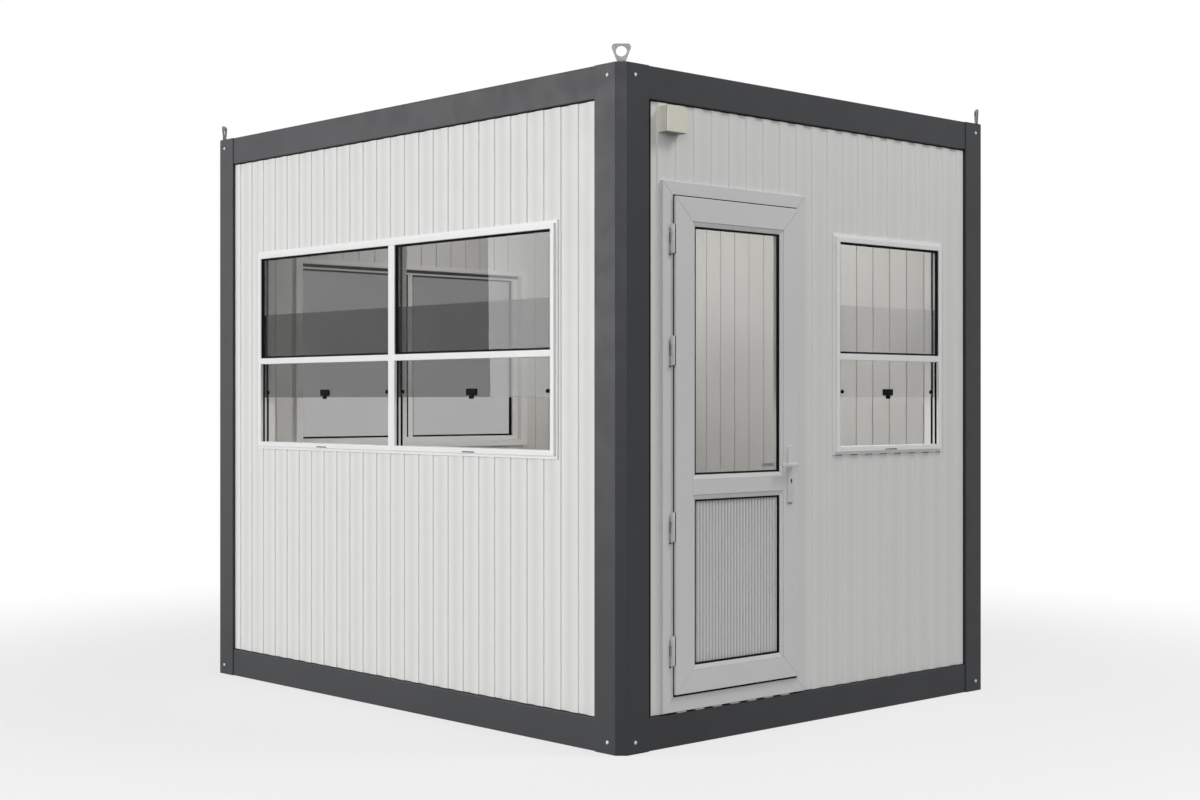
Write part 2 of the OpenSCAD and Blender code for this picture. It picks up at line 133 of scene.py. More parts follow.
SATIN = {"Specular IOR Level": 0.3}
FRAME_GLOSS = {"Specular IOR Level": 0.26}
DULL = {"Specular IOR Level": 0.06}
MATT = {"Specular IOR Level": 0.02}
CLOUD_SCALE = 3.0
GLOSS_SCALE = 11.0
GRAIN_DETAIL = 2.0
GRAIN_STRENGTH = 0.35
NOISE_MIDDLE = (0.25, 0.75)
PANEL_COLOUR = (0.74, 0.74, 0.725)
PANEL_ROUGH = (0.38, 0.5)
PANEL_GRAIN = (500.0, 0.0003)
SPANGLE_SCALE = 95.0
SPANGLE_BUMP = (160.0, 0.25, 0.0006)
SPECKLE_SCALE = 260.0
DUST_SCALE = 2.0


def shader(name):
    """A new material with its node tree, principled shader and object coordinates."""
    material = bpy.data.materials.new(name)
    material.use_nodes = True
    tree = material.node_tree
    coords = tree.nodes.new("ShaderNodeTexCoord").outputs["Object"]
    return material, tree, tree.nodes["Principled BSDF"], coords


def noise(tree, coords, scale, detail=4.0):
    node = tree.nodes.new("ShaderNodeTexNoise")
    node.inputs["Scale"].default_value = scale
    node.inputs["Detail"].default_value = detail
    tree.links.new(coords, node.inputs["Vector"])
    return node.outputs["Fac"]


def ramp(tree, value, stops):
    """A colour ramp over (position, colour) stops."""
    node = tree.nodes.new("ShaderNodeValToRGB")
    elements = node.color_ramp.elements
    while len(elements) < len(stops):
        elements.new(0.5)
    for element, (position, colour) in zip(elements, stops):
        element.position = position
        element.color = (*colour, 1)
    tree.links.new(value, node.inputs["Fac"])
    return node.outputs["Color"]


def mapped(tree, value, source, target=(0.0, 1.0), steps="LINEAR"):
    """A value mapped from one range to another."""
    node = tree.nodes.new("ShaderNodeMapRange")
    node.interpolation_type = steps
    for name, number in zip(("From Min", "From Max", "To Min", "To Max"), (*source, *target)):
        node.inputs[name].default_value = number
    tree.links.new(value, node.inputs["Value"])
    return node.outputs["Result"]


def maths(tree, operation, value, constant):
    """A value and a constant put through a Math node."""
    node = tree.nodes.new("ShaderNodeMath")
    node.operation = operation
    node.inputs[1].default_value = constant
    tree.links.new(value, node.inputs[0])
    return node.outputs["Value"]


def mixed(tree, share, first, second):
    """Two shaders mixed by a share of the second."""
    node = tree.nodes.new("ShaderNodeMixShader")
    for value, socket in zip((share, first, second), node.inputs):
        tree.links.new(value, socket)
    return node.outputs["Shader"]


def bump(tree, bsdf, height, strength, distance):
    node = tree.nodes.new("ShaderNodeBump")
    node.inputs["Strength"].default_value = strength
    node.inputs["Distance"].default_value = distance
    tree.links.new(height, node.inputs["Height"])
    tree.links.new(node.outputs["Normal"], bsdf.inputs["Normal"])


def tinted(colour, factor):
    return tuple(c * factor for c in colour)


def coloured(tree, bsdf, value, stops):
    """Gives the shader a ramp of colours."""
    tree.links.new(ramp(tree, value, stops), bsdf.inputs["Base Color"])


def roughened(tree, bsdf, value, rough):
    """Gives the shader a roughness that follows a noise value's middle half."""
    tree.links.new(mapped(tree, value, NOISE_MIDDLE, rough), bsdf.inputs["Roughness"])


def surfaced(tree, bsdf, coords, rough, grain, grain_depth, fixed):
    """Cloudy gloss, a fine grain and the sockets that are the same all over."""
    roughened(tree, bsdf, noise(tree, coords, GLOSS_SCALE), rough)
    bump(tree, bsdf, noise(tree, coords, grain, GRAIN_DETAIL), GRAIN_STRENGTH, grain_depth)
    for socket, value in fixed.items():
        bsdf.inputs[socket].default_value = value


def coating(name, colour, rough, vary, grain, grain_depth, fixed):
    """Paint or plastic: cloudy tone and gloss, with a fine grain on the surface."""
    material, tree, bsdf, coords = shader(name)
    stops = [(0.3, tinted(colour, 1 - vary)), (0.5, colour), (0.7, tinted(colour, 1 + vary))]
    coloured(tree, bsdf, noise(tree, coords, CLOUD_SCALE), stops)
    surfaced(tree, bsdf, coords, rough, grain, grain_depth, fixed)
    return material


def rib_shaded_coat(name, axis, start, painted_shade_swing):
    """Coil coated sheet with painted shade: its colour swings a little lighter and darker over each rib along an
    axis, in place of the ribs' shading.
    """
    material, tree, bsdf, coords = shader(name)
    split = tree.nodes.new("ShaderNodeSeparateXYZ")
    tree.links.new(coords, split.inputs["Vector"])
    shifted = maths(tree, "ADD", split.outputs[axis], start)
    fold = maths(tree, "PINGPONG", shifted, RIB_PITCH / 2)
    tone = mapped(tree, fold, (0.0, RIB_PITCH / 2))
    coloured(tree, bsdf, tone, [(0.0, tinted(PANEL_COLOUR, 1 - painted_shade_swing)), (1.0, tinted(PANEL_COLOUR, 1 + painted_shade_swing))])
    surfaced(tree, bsdf, coords, PANEL_ROUGH, *PANEL_GRAIN, SATIN)
    return material


def galvanised(name, colour):
    """Zinc coat with crystal spangles."""
    material, tree, bsdf, coords = shader(name)
    cells = tree.nodes.new("ShaderNodeTexVoronoi")
    cells.inputs["Scale"].default_value = SPANGLE_SCALE
    tree.links.new(coords, cells.inputs["Vector"])
    grey = tree.nodes.new("ShaderNodeRGBToBW")
    tree.links.new(cells.outputs["Color"], grey.inputs["Color"])
    stops = [(0.2, tinted(colour, 0.8)), (0.5, colour), (0.8, tinted(colour, 1.2))]
    coloured(tree, bsdf, grey.outputs["Val"], stops)
    roughened(tree, bsdf, grey.outputs["Val"], (0.42, 0.6))
    scale, strength, distance = SPANGLE_BUMP
    bump(tree, bsdf, noise(tree, coords, scale), strength, distance)
    bsdf.inputs["Metallic"].default_value = 0.55
    return material


def vinyl(name, colour):
    """Floor covering with a fine two-tone speckle."""
    material, tree, bsdf, coords = shader(name)
    speckle = noise(tree, coords, SPECKLE_SCALE, 1.0)
    stops = [(0.4, tinted(colour, 0.75)), (0.52, colour), (0.64, tinted(colour, 1.35))]
    coloured(tree, bsdf, speckle, stops)
    roughened(tree, bsdf, noise(tree, coords, 7.0), (0.45, 0.6))
    bump(tree, bsdf, speckle, 0.3, 0.0004)
    return material


def glass(name, tint, ior):
    """Grey tinted glass with a trace of dust."""
    material, tree, bsdf, coords = shader(name)
    film = noise(tree, coords, DUST_SCALE)
    coloured(tree, bsdf, film, [(0.3, tinted(tint, 0.97)), (0.7, tinted(tint, 1.03))])
    roughened(tree, bsdf, film, (0.0, 0.012))
    bsdf.inputs["Transmission Weight"].default_value = 1.0
    bsdf.inputs["IOR"].default_value = ior
    return material


# Colour, roughness range, change of tone, scale and depth of the grain, fixed sockets
COATINGS = {
    "frame_paint": ((0.032, 0.0335, 0.0365), (0.40, 0.52), 0.06, 420.0, 0.0003, FRAME_GLOSS),
    "bolt_cap": ((0.80, 0.80, 0.79), (0.3, 0.4), 0.03, 300.0, 0.0002, {}),
    "base_steel": ((0.20, 0.20, 0.20), (0.5, 0.7), 0.12, 180.0, 0.0008, {}),
    "panel_paint": (PANEL_COLOUR, PANEL_ROUGH, 0.025, *PANEL_GRAIN, SATIN),
    "white_pvc": ((0.84, 0.84, 0.835), (0.28, 0.38), 0.015, 350.0, 0.0002, SATIN),
    "door_pvc": ((0.68, 0.68, 0.68), (0.28, 0.38), 0.015, 350.0, 0.0002, SATIN),
    # A darker copy of the door PVC, for painted shade in the slats' grooves
    "groove_shade_pvc": ((0.59, 0.59, 0.59), (0.4, 0.5), 0.02, 350.0, 0.0002, SATIN),
    "black_plastic": ((0.007, 0.007, 0.008), (0.4, 0.55), 0.15, 600.0, 0.0004, MATT),
    # Black rubber, which also serves for black strips and bars of painted shade
    "black_rubber_and_shade": ((0.008, 0.008, 0.008), (0.6, 0.75), 0.2, 700.0, 0.0003, DULL),
    "handle_paint": ((0.67, 0.67, 0.67), (0.25, 0.36), 0.02, 300.0, 0.0002, SATIN),
    "cream_plastic": ((0.78, 0.78, 0.66), (0.4, 0.5), 0.03, 450.0, 0.0003, SATIN),
    # A lighter copy of the cream plastic, painted light for the box shell's shaded sides
    "cream_shell_painted_light": ((0.92, 0.92, 0.79), (0.4, 0.5), 0.03, 450.0, 0.0003, SATIN),
    # Near-white for the painted highlight along the lid's front edge
    "lid_edge_painted_highlight": ((0.93, 0.93, 0.90), (0.3, 0.4), 0.01, 450.0, 0.0002, SATIN),
}
MATERIAL = {name: coating(name, *values) for name, values in COATINGS.items()}
MATERIAL.update({
    # The wall panels' paint carries painted rib shade, which is stronger on the long walls
    "panel_paint_long_rib_shade": rib_shaded_coat("panel_paint_long_rib_shade", "X", 0.004 - HALF_L, 0.075),
    "panel_paint_end_rib_shade": rib_shaded_coat("panel_paint_end_rib_shade", "Y", HALF_W - 0.054, 0.025),
    "galvanised": galvanised("galvanised", (0.30, 0.30, 0.31)),
    "eye_zinc": galvanised("eye_zinc", (0.205, 0.205, 0.205)),
    "floor_covering": vinyl("floor_covering", (0.26, 0.24, 0.22)),
    "window_glass": glass("window_glass", (0.40, 0.40, 0.40), 1.27),
    "clear_glass": glass("clear_glass", (0.82, 0.82, 0.82), 1.24),
})


# Mesh building

SHARP_ANGLE = math.radians(38)
BOX_FACES = ((0, 1, 3, 2), (4, 6, 7, 5), (0, 4, 5, 1), (2, 3, 7, 6), (0, 2, 6, 4), (1, 5, 7, 3))


def rounded(points, steps=3):
    """A 2D outline whose points may carry a third number, the size of their rounding."""
    outline = []
    for i, point in enumerate(points):
        here = Vector(point[:2])
        if len(point) < 3:
            outline.append(here)
            continue
        before = Vector(points[i - 1][:2])
        after = Vector(points[(i + 1) % len(points)][:2])
        start = here + (before - here).normalized() * point[2]
        end = here + (after - here).normalized() * point[2]
        for k in range(steps + 1):
            t = k / steps
            outline.append(start * (1 - t) ** 2 + here * 2 * t * (1 - t) + end * t ** 2)
    return outline


def rounded_box(x, y, r, steps=3):
    """The outline of a rounded rectangle between two (from, to) pairs."""
    corners = [(x[0], y[0], r), (x[1], y[0], r), (x[1], y[1], r), (x[0], y[1], r)]
    return rounded(corners, steps)


def grown(pair, by):
    """A (from, to) pair with both ends moved outward."""
    return pair[0] - by, pair[1] + by


def offset(start, pair):
    """A (from, to) pair counted from a start."""
    return start + pair[0], start + pair[1]


class Shape:
    """Closed solids gathered in one mesh."""

    def __init__(self):
        self.bm = bmesh.new()

    def loft(self, loops):
        """A solid through loops of as many points each."""
        rows = [[self.bm.verts.new(p) for p in loop] for loop in loops]
        for row, after in zip(rows, rows[1:]):
            for i in range(len(row)):
                j = (i + 1) % len(row)
                self.bm.faces.new((row[i], row[j], after[j], after[i]))
        self.bm.faces.new(rows[0])
        self.bm.faces.new(rows[-1])

    def prism(self, outline, place, ends):
        """A 2D outline carried along a straight line by place(x, y, t)."""
        self.loft([[place(x, y, t) for x, y in outline] for t in ends])

    def bar_u(self, wall, u, outline):
        """A bar along a wall, whose outline holds (d, z)."""
        self.prism(outline, lambda d, z, t: wall.at(t, d, z), u)

    def bar_z(self, wall, z, outline):
        """An upright bar, whose outline holds (u, d)."""
        self.prism(outline, lambda u, d, t: wall.at(u, d, t), z)

    def plate(self, wall, outline, d, edge):
        """A plate on a wall with a rounded front edge, whose outline holds (u, z)."""
        centre = sum(outline, Vector((0, 0))) / len(outline)
        half_u = max(abs(p.x - centre.x) for p in outline)
        half_z = max(abs(p.y - centre.y) for p in outline)
        thick = d[1] - d[0]
        loops = []
        for rise, shrink in ((0, 0), (thick - edge, 0), (thick - 0.3 * edge, 0.3 * edge), (thick, edge)):
            along = (half_u - shrink) / half_u
            up = (half_z - shrink) / half_z
            inner = [(centre.x + (p.x - centre.x) * along, centre.y + (p.y - centre.y) * up) for p in outline]
            loops.append([wall.at(x, d[0] + rise, y) for x, y in inner])
        self.loft(loops)

    def ring(self, wall, u, z, outline, widths=(1, 1, 1, 1), seam=0.0002):
        """Four mitred members inside a rectangle. The outline holds (inward, d), and widths scale
        the inward distance on the left, right, lower and upper member."""
        left, right, lower, upper = widths

        def corner(a, at_right, at_top, du, dz):
            x = u[1] - a * right if at_right else u[0] + a * left
            y = z[1] - a * upper if at_top else z[0] + a * lower
            return x + du * seam, y + dz * seam

        members = [((0, 0, 1, 0), (1, 0, -1, 0)), ((1, 0, 0, 1), (1, 1, 0, -1)),
                   ((1, 1, -1, 0), (0, 1, 1, 0)), ((0, 1, 0, -1), (0, 0, 0, 1))]
        for ends in members:
            loops = []
            for end in ends:
                places = [(corner(a, *end), d) for a, d in outline]
                loops.append([wall.at(x, d, y) for (x, y), d in places])
            self.loft(loops)

    def lathe(self, base, axis, profile, segments=32):
        """A turned solid: profile holds (radius, height along the axis)."""
        side = axis.orthogonal().normalized()
        other = axis.cross(side)
        turn = [2 * math.pi * k / segments for k in range(segments)]
        loops = []
        for radius, height in profile:
            centre = base + axis * height
            loops.append([centre + (side * math.cos(a) + other * math.sin(a)) * radius for a in turn])
        self.loft(loops)

    def block(self, wall, u, d, z, r):
        """A box with all edges rounded."""
        before = set(self.bm.edges)
        corners = [wall.at(x, y, w) for w in z for y in d for x in u]
        v = [self.bm.verts.new(c) for c in corners]
        for face in BOX_FACES:
            self.bm.faces.new([v[i] for i in face])
        edges = [e for e in self.bm.edges if e not in before]
        bmesh.ops.bevel(self.bm, geom=edges, offset=r, segments=2, profile=0.5, affect="EDGES")

    def piece(self, name, slot, body="cabin", stands_for=(), smooth=False, material=None):
        """Makes the object, on its CAD body."""
        bmesh.ops.recalc_face_normals(self.bm, faces=self.bm.faces)
        mesh = bpy.data.meshes.new(name)
        self.bm.to_mesh(mesh)
        self.bm.free()
        if smooth:
            mesh.polygons.foreach_set("use_smooth", [True] * len(mesh.polygons))
            mesh.set_sharp_from_angle(angle=SHARP_ANGLE)
        mesh.materials.append(MATERIAL[material or slot])
        obj = bpy.data.objects.new(name, mesh)
        bpy.context.scene.collection.objects.link(obj)
        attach(obj, body)
        if stands_for:
            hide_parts(*stands_for)
        return obj

    def black_piece(self, name, body="cabin"):
        """Makes the object of black rubber, the material that also serves for black strips of painted shade."""
        return self.piece(name, "black_plastic", body, material="black_rubber_and_shade")


# Steel frame

EDGE_R = 0.0025
POST_LIP_R = 0.003
RAIL_R = 0.004
CORNERS = {"front_left": (-1, -1), "front_right": (1, -1), "back_right": (1, 1), "back_left": (-1, 1)}

post_outline = rounded([
    (POST_BEVEL, 0, EDGE_R), (POST_W, 0, POST_LIP_R), (POST_W, WALL_DEPTH), (WALL_DEPTH, WALL_DEPTH),
    (WALL_DEPTH, POST_W), (0, POST_W, POST_LIP_R), (0, POST_BEVEL, EDGE_R)
])
for corner_name, (sx, sy) in CORNERS.items():
    post = Shape()
    post.prism(post_outline, lambda p, q, t: Vector((sx * (HALF_L - p), sy * (HALF_W - q), t)), (0, HEIGHT))
    post.piece("post_" + corner_name, "frame_paint", stands_for=["corner_post_" + corner_name])

for wall_name, wall in WALLS.items():
    span = wall.half - POST_W
    for level, z in (("top", (WALL_Z[1], HEIGHT)), ("bottom", (0, WALL_Z[0]))):
        rail = Shape()
        rail.bar_u(wall, (-span, span), rounded([
            (-WALL_DEPTH, z[0]), (RAIL_D, z[0], RAIL_R), (RAIL_D, z[1], RAIL_R), (-WALL_DEPTH, z[1])
        ]))
        rail_node = level + "_rail_" + wall_name
        rail.piece(level + "_rail_face_" + wall_name, "frame_paint", stands_for=[rail_node])

CAP = [(0.0070, 0.0), (0.0070, 0.0014), (0.0064, 0.0026), (0.0048, 0.0035), (0.0026, 0.0039),
       (0.0004, 0.0040)]
bolts = Shape()
for lo, hi in solid_boxes("frame_bolts"):
    size = hi - lo
    if size.x < size.y:
        axis = Vector((math.copysign(1, lo.x), 0, 0))
        base = Vector((math.copysign(HALF_L, lo.x), (lo.y + hi.y) / 2, (lo.z + hi.z) / 2))
    else:
        axis = Vector((0, math.copysign(1, lo.y), 0))
        base = Vector(((lo.x + hi.x) / 2, math.copysign(HALF_W, lo.y), (lo.z + hi.z) / 2))
    bolts.lathe(base, axis, CAP, 24)
bolts.piece("bolt_caps", "bolt_cap", stands_for=["frame_bolts"], smooth=True)

# Weld beads along both sides of each lifting eye's foot
WELD_R = 0.006
WELD_THROAT = 0.6 * WELD_R
EYE_BASE = 0.030
MM_PER_M = 1000
welds = Shape()
for mount in frame["record"]["mounts"]:
    if mount["kind"] != "bore":
        continue
    foot = Vector((mount["pos_m"][0], mount["pos_m"][1], HEIGHT))
    normal = Vector(mount["axis"])
    along = normal.cross(UP)
    half_t = mount["dims"]["length_mm"] / (2 * MM_PER_M)
    bead = [(half_t, 0), (half_t + WELD_R, 0), (half_t + WELD_THROAT, WELD_THROAT), (half_t, WELD_R)]
    for side in (-1, 1):
        welds.prism(bead, lambda p, q, t: foot + normal * side * p + UP * q + along * t,
                    (-EYE_BASE / 2, EYE_BASE / 2))
welds.piece("eye_welds", "galvanised")


# Wall panels

OUTER_RIB = [(0.0, -0.0020), (0.0026, 0.0020), (0.0038, 0.0023), (0.0488, 0.0023), (0.0500, 0.0020),
             (0.0526, -0.0020), (0.0538, -0.0023), (0.0988, -0.0023)]
HOLLOW_FROM = OUTER_RIB[5][0]
INNER_RIB = [(0.0, 0.0), (0.0945, 0.0), (0.0950, -0.0070), (0.0990, -0.0070), (0.0995, 0.0)]
RIB_START = {"front": 0.0500, "door_end": 0.0012, "back": 0.0500, "left_end": 0.0012}
GAP_TOP = 0.005
GAP_BOTTOM = 0.003
# The wide gap beside the door end's post shows its black upright seal as a painted shadow line
GAP_POST = {"front": 0.0006, "door_end": 0.023, "back": 0.0006, "left_end": 0.0006}
INNER_FACES = -0.8 * WALL_DEPTH


def rib_line(wall, u, rib, start):
    """The (u, depth) points of a repeating rib between two places on a wall."""
    along = sorted(wall.half + wall.rib_way * x for x in u)
    first = math.floor((along[0] - start) / RIB_PITCH) - 1
    last = math.ceil((along[1] - start) / RIB_PITCH) + 1
    line = [(start + k * RIB_PITCH + s, depth) for k in range(first, last) for s, depth in rib]
    kept = [p for p in line if along[0] + SAME_POINT < p[0] < along[1] - SAME_POINT]

    def depth_at(s):
        for (s0, d0), (s1, d1) in zip(line, line[1:]):
            if s0 <= s <= s1:
                return d0 + (d1 - d0) * (s - s0) / (s1 - s0)
        return 0.0

    whole = [(along[0], depth_at(along[0])), *kept, (along[1], depth_at(along[1]))]
    placed = [((s - wall.half) * wall.rib_way, depth) for s, depth in whole]
    return placed if wall.rib_way > 0 else placed[::-1]


def ribbed_wall(name, node, wall_name):
    """Panels with ribs outside and joint lines inside, for each solid of a CAD wall."""
    shape = Shape()
    wall = WALLS[wall_name]
    start = RIB_START[wall_name]
    span = wall.half - POST_W
    for box in solid_boxes(node):
        u, _, z = wall.spans(box)
        at_post = u[0] < SAME_PLACE - span
        at_floor = z[0] < WALL_Z[0] + SAME_PLACE
        at_top = z[1] > WALL_Z[1] - SAME_PLACE
        u = (u[0] + GAP_POST[wall_name] * at_post, u[1])
        z = (z[0] + GAP_BOTTOM * at_floor, z[1] - GAP_TOP * at_top)
        outside = [(x, PANEL_D + depth) for x, depth in rib_line(wall, u, OUTER_RIB, start)]
        inside = [(x, -WALL_DEPTH - depth) for x, depth in rib_line(wall, u, INNER_RIB, 0)]
        shape.bar_z(wall, z, outside + inside[::-1])
    for face in shape.bm.faces:
        depth = (face.calc_center_median() - wall.origin).dot(wall.out)
        face.material_index = int(depth < INNER_FACES)
    # Outer faces take the paint with painted rib shade, and inner faces take the plain panel paint
    material = "panel_paint_long_rib_shade" if wall in (FRONT, BACK) else "panel_paint_end_rib_shade"
    panels = shape.piece(name, "panel_paint", stands_for=[node], material=material)
    panels.data.materials.append(MATERIAL["panel_paint"])


ribbed_wall("front_side_panels", "front_wall_sides", "front")
ribbed_wall("front_centre_panels", "front_wall_centre", "front")
ribbed_wall("back_panels", "back_wall", "back")
ribbed_wall("left_side_panels", "left_wall_sides", "left_end")
ribbed_wall("left_centre_panels", "left_wall_centre", "left_end")
ribbed_wall("door_wall_upright_panels", "door_wall_uprights", "door_end")
ribbed_wall("door_wall_window_panels", "door_wall_short_panels", "door_end")

# Black seals that close the gaps between the panels and the steel frame; they also paint the dark shadow lines
# along the rails and posts
SEAL_D = (-0.046, -0.026)
SEAL_R = 0.001
POST_SEAL_D = (SEAL_D[0], PANEL_D - 0.0012)
POST_SEAL_R = 0.0002
seals_and_shade_bars = Shape()
for wall_name, wall in WALLS.items():
    span = wall.half - POST_W
    for z in ((WALL_Z[0], WALL_Z[0] + GAP_BOTTOM), (WALL_Z[1] - GAP_TOP, WALL_Z[1])):
        seals_and_shade_bars.bar_u(wall, (-span, span), rounded_box(SEAL_D, z, SEAL_R))
    upright = rounded_box((-span, GAP_POST[wall_name] - span), POST_SEAL_D, POST_SEAL_R)
    seals_and_shade_bars.bar_z(wall, (WALL_Z[0] + GAP_BOTTOM, WALL_Z[1] - GAP_TOP), upright)


def hollows(wall_name, u):
    """The (from, to) of each recessed rib between two places on a wall."""
    wall = WALLS[wall_name]
    least = 0.004
    for k in range(-1, math.ceil(2 * wall.half / RIB_PITCH)):
        at = [RIB_START[wall_name] + k * RIB_PITCH + s - wall.half for s in (HOLLOW_FROM, RIB_PITCH)]
        ends = sorted(wall.rib_way * x for x in at)
        low, high = max(ends[0], u[0]), min(ends[1], u[1])
        if high - low > least:
            yield low, high


# Black bars in the recessed ribs under the door frame and under the window beside it, which paint the shade in
# these hollows
SHADE_BAR_D = (PANEL_D - 0.006, PANEL_D - 0.0005)
SHADE_BAR_H = 0.003
SHADE_BAR_R = 0.0003
frame_u, frame_d, frame_z = DOOR_END.spans(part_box("door_frame"))
side_u, _, side_z = DOOR_END.spans(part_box("side_window_frame"))
for shaded_u, low, high in ((frame_u, WALL_Z[0], frame_z[0]), (side_u, side_z[0] - SHADE_BAR_H, side_z[0])):
    for u in hollows("door_end", shaded_u):
        seals_and_shade_bars.bar_u(DOOR_END, u, rounded_box(SHADE_BAR_D, (low, high), SHADE_BAR_R))
# The seals and the bars of painted shade make one black object
seals_and_shade_bars.black_piece("wall_seals_and_shade_bars")

# Feet of the raised ribs below the door frame, in a white PVC brighter than the panel paint: painted light, so
# that they show as lit white dashes
FOOT_W = 0.048
FOOT_BACK_D = PANEL_D - 0.002
FOOT_TOE_D = RAIL_D - 0.0008
FOOT_HEEL_D = PANEL_D + 0.007
FOOT_Z = (WALL_Z[0] + 0.0002, WALL_Z[0] + 0.0022, frame_z[0] - 0.0025)
foot_outline = [(FOOT_BACK_D, FOOT_Z[0]), (FOOT_TOE_D, FOOT_Z[0]), (FOOT_TOE_D, FOOT_Z[1]),
                (FOOT_HEEL_D, FOOT_Z[2]), (FOOT_BACK_D, FOOT_Z[2])]
feet = Shape()
hollow_ends = [x for pair in hollows("door_end", (-DOOR_END.half, DOOR_END.half)) for x in pair]
for low, high in zip(hollow_ends[1::2], hollow_ends[2::2]):
    middle = (low + high) / 2
    foot_u = grown((middle, middle), FOOT_W / 2)
    if frame_u[0] < foot_u[0] and foot_u[1] < frame_u[1]:
        feet.bar_u(DOOR_END, foot_u, foot_outline)
feet.piece("panel_rib_feet", "panel_paint", material="white_pvc")


# Roof

FOLD_R = 0.003
SCREW = [(0.009, 0.0), (0.009, 0.0015), (0.0052, 0.0017), (0.0052, 0.0062), (0.0044, 0.0068)]
SCREW_ROWS = (0.03, 0.35, 0.65, 0.97)
SCREW_SINK = 0.0002
roof_lo, roof_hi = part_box("roof_sheet")
roof_folds = levels("roof_sheet", 0)[1:-1]
roof_pan = levels("roof_sheet", 2)[1]
roof_line = [(roof_lo.x, roof_lo.z), (roof_lo.x, roof_pan)]
crowns = []
for a, b, c, d in zip(*[roof_folds[k::4] for k in range(4)]):
    roof_line += [(a, roof_pan, FOLD_R), (b, roof_hi.z, FOLD_R), (c, roof_hi.z, FOLD_R),
                  (d, roof_pan, FOLD_R)]
    crowns.append((b + c) / 2)
roof_line += [(roof_hi.x, roof_pan), (roof_hi.x, roof_lo.z)]
roof = Shape()
roof.prism(rounded(roof_line), lambda x, z, t: Vector((x, t, z)), (roof_lo.y, roof_hi.y))
roof.piece("roof_profile_sheet", "galvanised", stands_for=["roof_sheet"])
screws = Shape()
for x in crowns:
    for share in SCREW_ROWS:
        y = roof_lo.y + share * (roof_hi.y - roof_lo.y)
        screws.lathe(Vector((x, y, roof_hi.z - SCREW_SINK)), UP, SCREW, 12)
screws.piece("roof_screws", "galvanised")


# Windows

GASKET_W = 0.009
GASKET_TOP = 0.4 * GASKET_W
GASKET_DROP = 0.005
LIP_R = 0.0025
FLANGE_W = 0.012
FLANGE_DROP = 0.009
FLANGE_SLOPE = 0.0006
FLANGE_R = 0.001
TRIM_W = 0.040
TRIM_T = 0.012
TRIM_R = 0.003
TRIM_OUT = 0.006
TRIM_BELOW = 0.022
TRIM_ABOVE = 0.014
SASH_TRIM_WIDTHS = (1, 1, 1.3, 1.1)
TRACK_T = 0.003
TRACK_R = 0.0008
TRACK_GAP = 0.0004
TRACK_LIP = 0.003
ROOM_TRACK = (-0.017, -0.008)
SLOT_HALF = 0.040
SLOT_HALF_H = 0.002
SLOT_RISE = 0.001
SLOT_R = 0.0018
SLOT_D = (-0.001, 0.0003)
KNOB = [(1, 0), (1, 0.5), (0.92, 0.85), (0.7, 1), (0.45, 1), (0.3, 0.8), (0.05, 0.75)]
KNOB_MAX = 0.03
LATCH_R = 0.003
LATCH_EDGE = 0.001
TAB_H = 0.014
TAB_HALF = 0.011
TAB_LAP = 0.006
TAB_SHIFT = (0.0005, 0.0015)


def window_frame(shape, wall, u, d, z, face):
    """The outer frame of a window, with a lower flange around it."""
    flange_d = d[1] - FLANGE_DROP
    shape.ring(wall, u, z, rounded([
        (0, d[0]), (0, flange_d, FLANGE_R), (FLANGE_W, flange_d), (FLANGE_W + FLANGE_SLOPE, d[1], FLANGE_R),
        (face, d[1], LIP_R), (face, d[0])
    ]))


def pane_gasket(shape, wall, u, d, z):
    """A black rubber bead around a pane, from the glass at d[0] to its lip at d[1]."""
    shape.ring(wall, u, z, [(0, d[0]), (0, d[1]), (GASKET_TOP, d[1]), (GASKET_W, d[0])])


def inner_trim(name, wall, u, z, widths):
    """A flat trim around a window on the room side, inside a rectangle."""
    trim = Shape()
    depth = (-WALL_DEPTH - TRIM_T, -WALL_DEPTH)
    outline = [(0, depth[1]), (0, depth[0], TRIM_R), (TRIM_W, depth[0], TRIM_R), (TRIM_W, depth[1])]
    trim.ring(wall, u, z, rounded(outline), widths)
    trim.piece(name, "white_pvc")


def sash_fittings(wall, latch_node):
    """The latches and knobs of a window's sliding panes."""
    fittings = Shape()
    for box in solid_boxes(latch_node):
        u, d, z = wall.spans(box)
        middle = sum(u) / 2
        width = u[1] - u[0]
        if width < KNOB_MAX:
            thick = d[1] - d[0]
            profile = [(across * width / 2, up * thick) for across, up in KNOB]
            fittings.lathe(wall.at(middle, d[0], sum(z) / 2), wall.out, profile, 24)
            continue
        tab = z[0] + TAB_H
        tab_d = (d[0] + TAB_SHIFT[0], d[1] + TAB_SHIFT[1])
        fittings.plate(wall, rounded_box(u, (tab, z[1]), LATCH_R), d, LATCH_EDGE)
        tab_outline = rounded_box(grown((middle, middle), TAB_HALF), (z[0], tab + TAB_LAP), LATCH_R)
        fittings.plate(wall, tab_outline, tab_d, LATCH_EDGE)
    return fittings


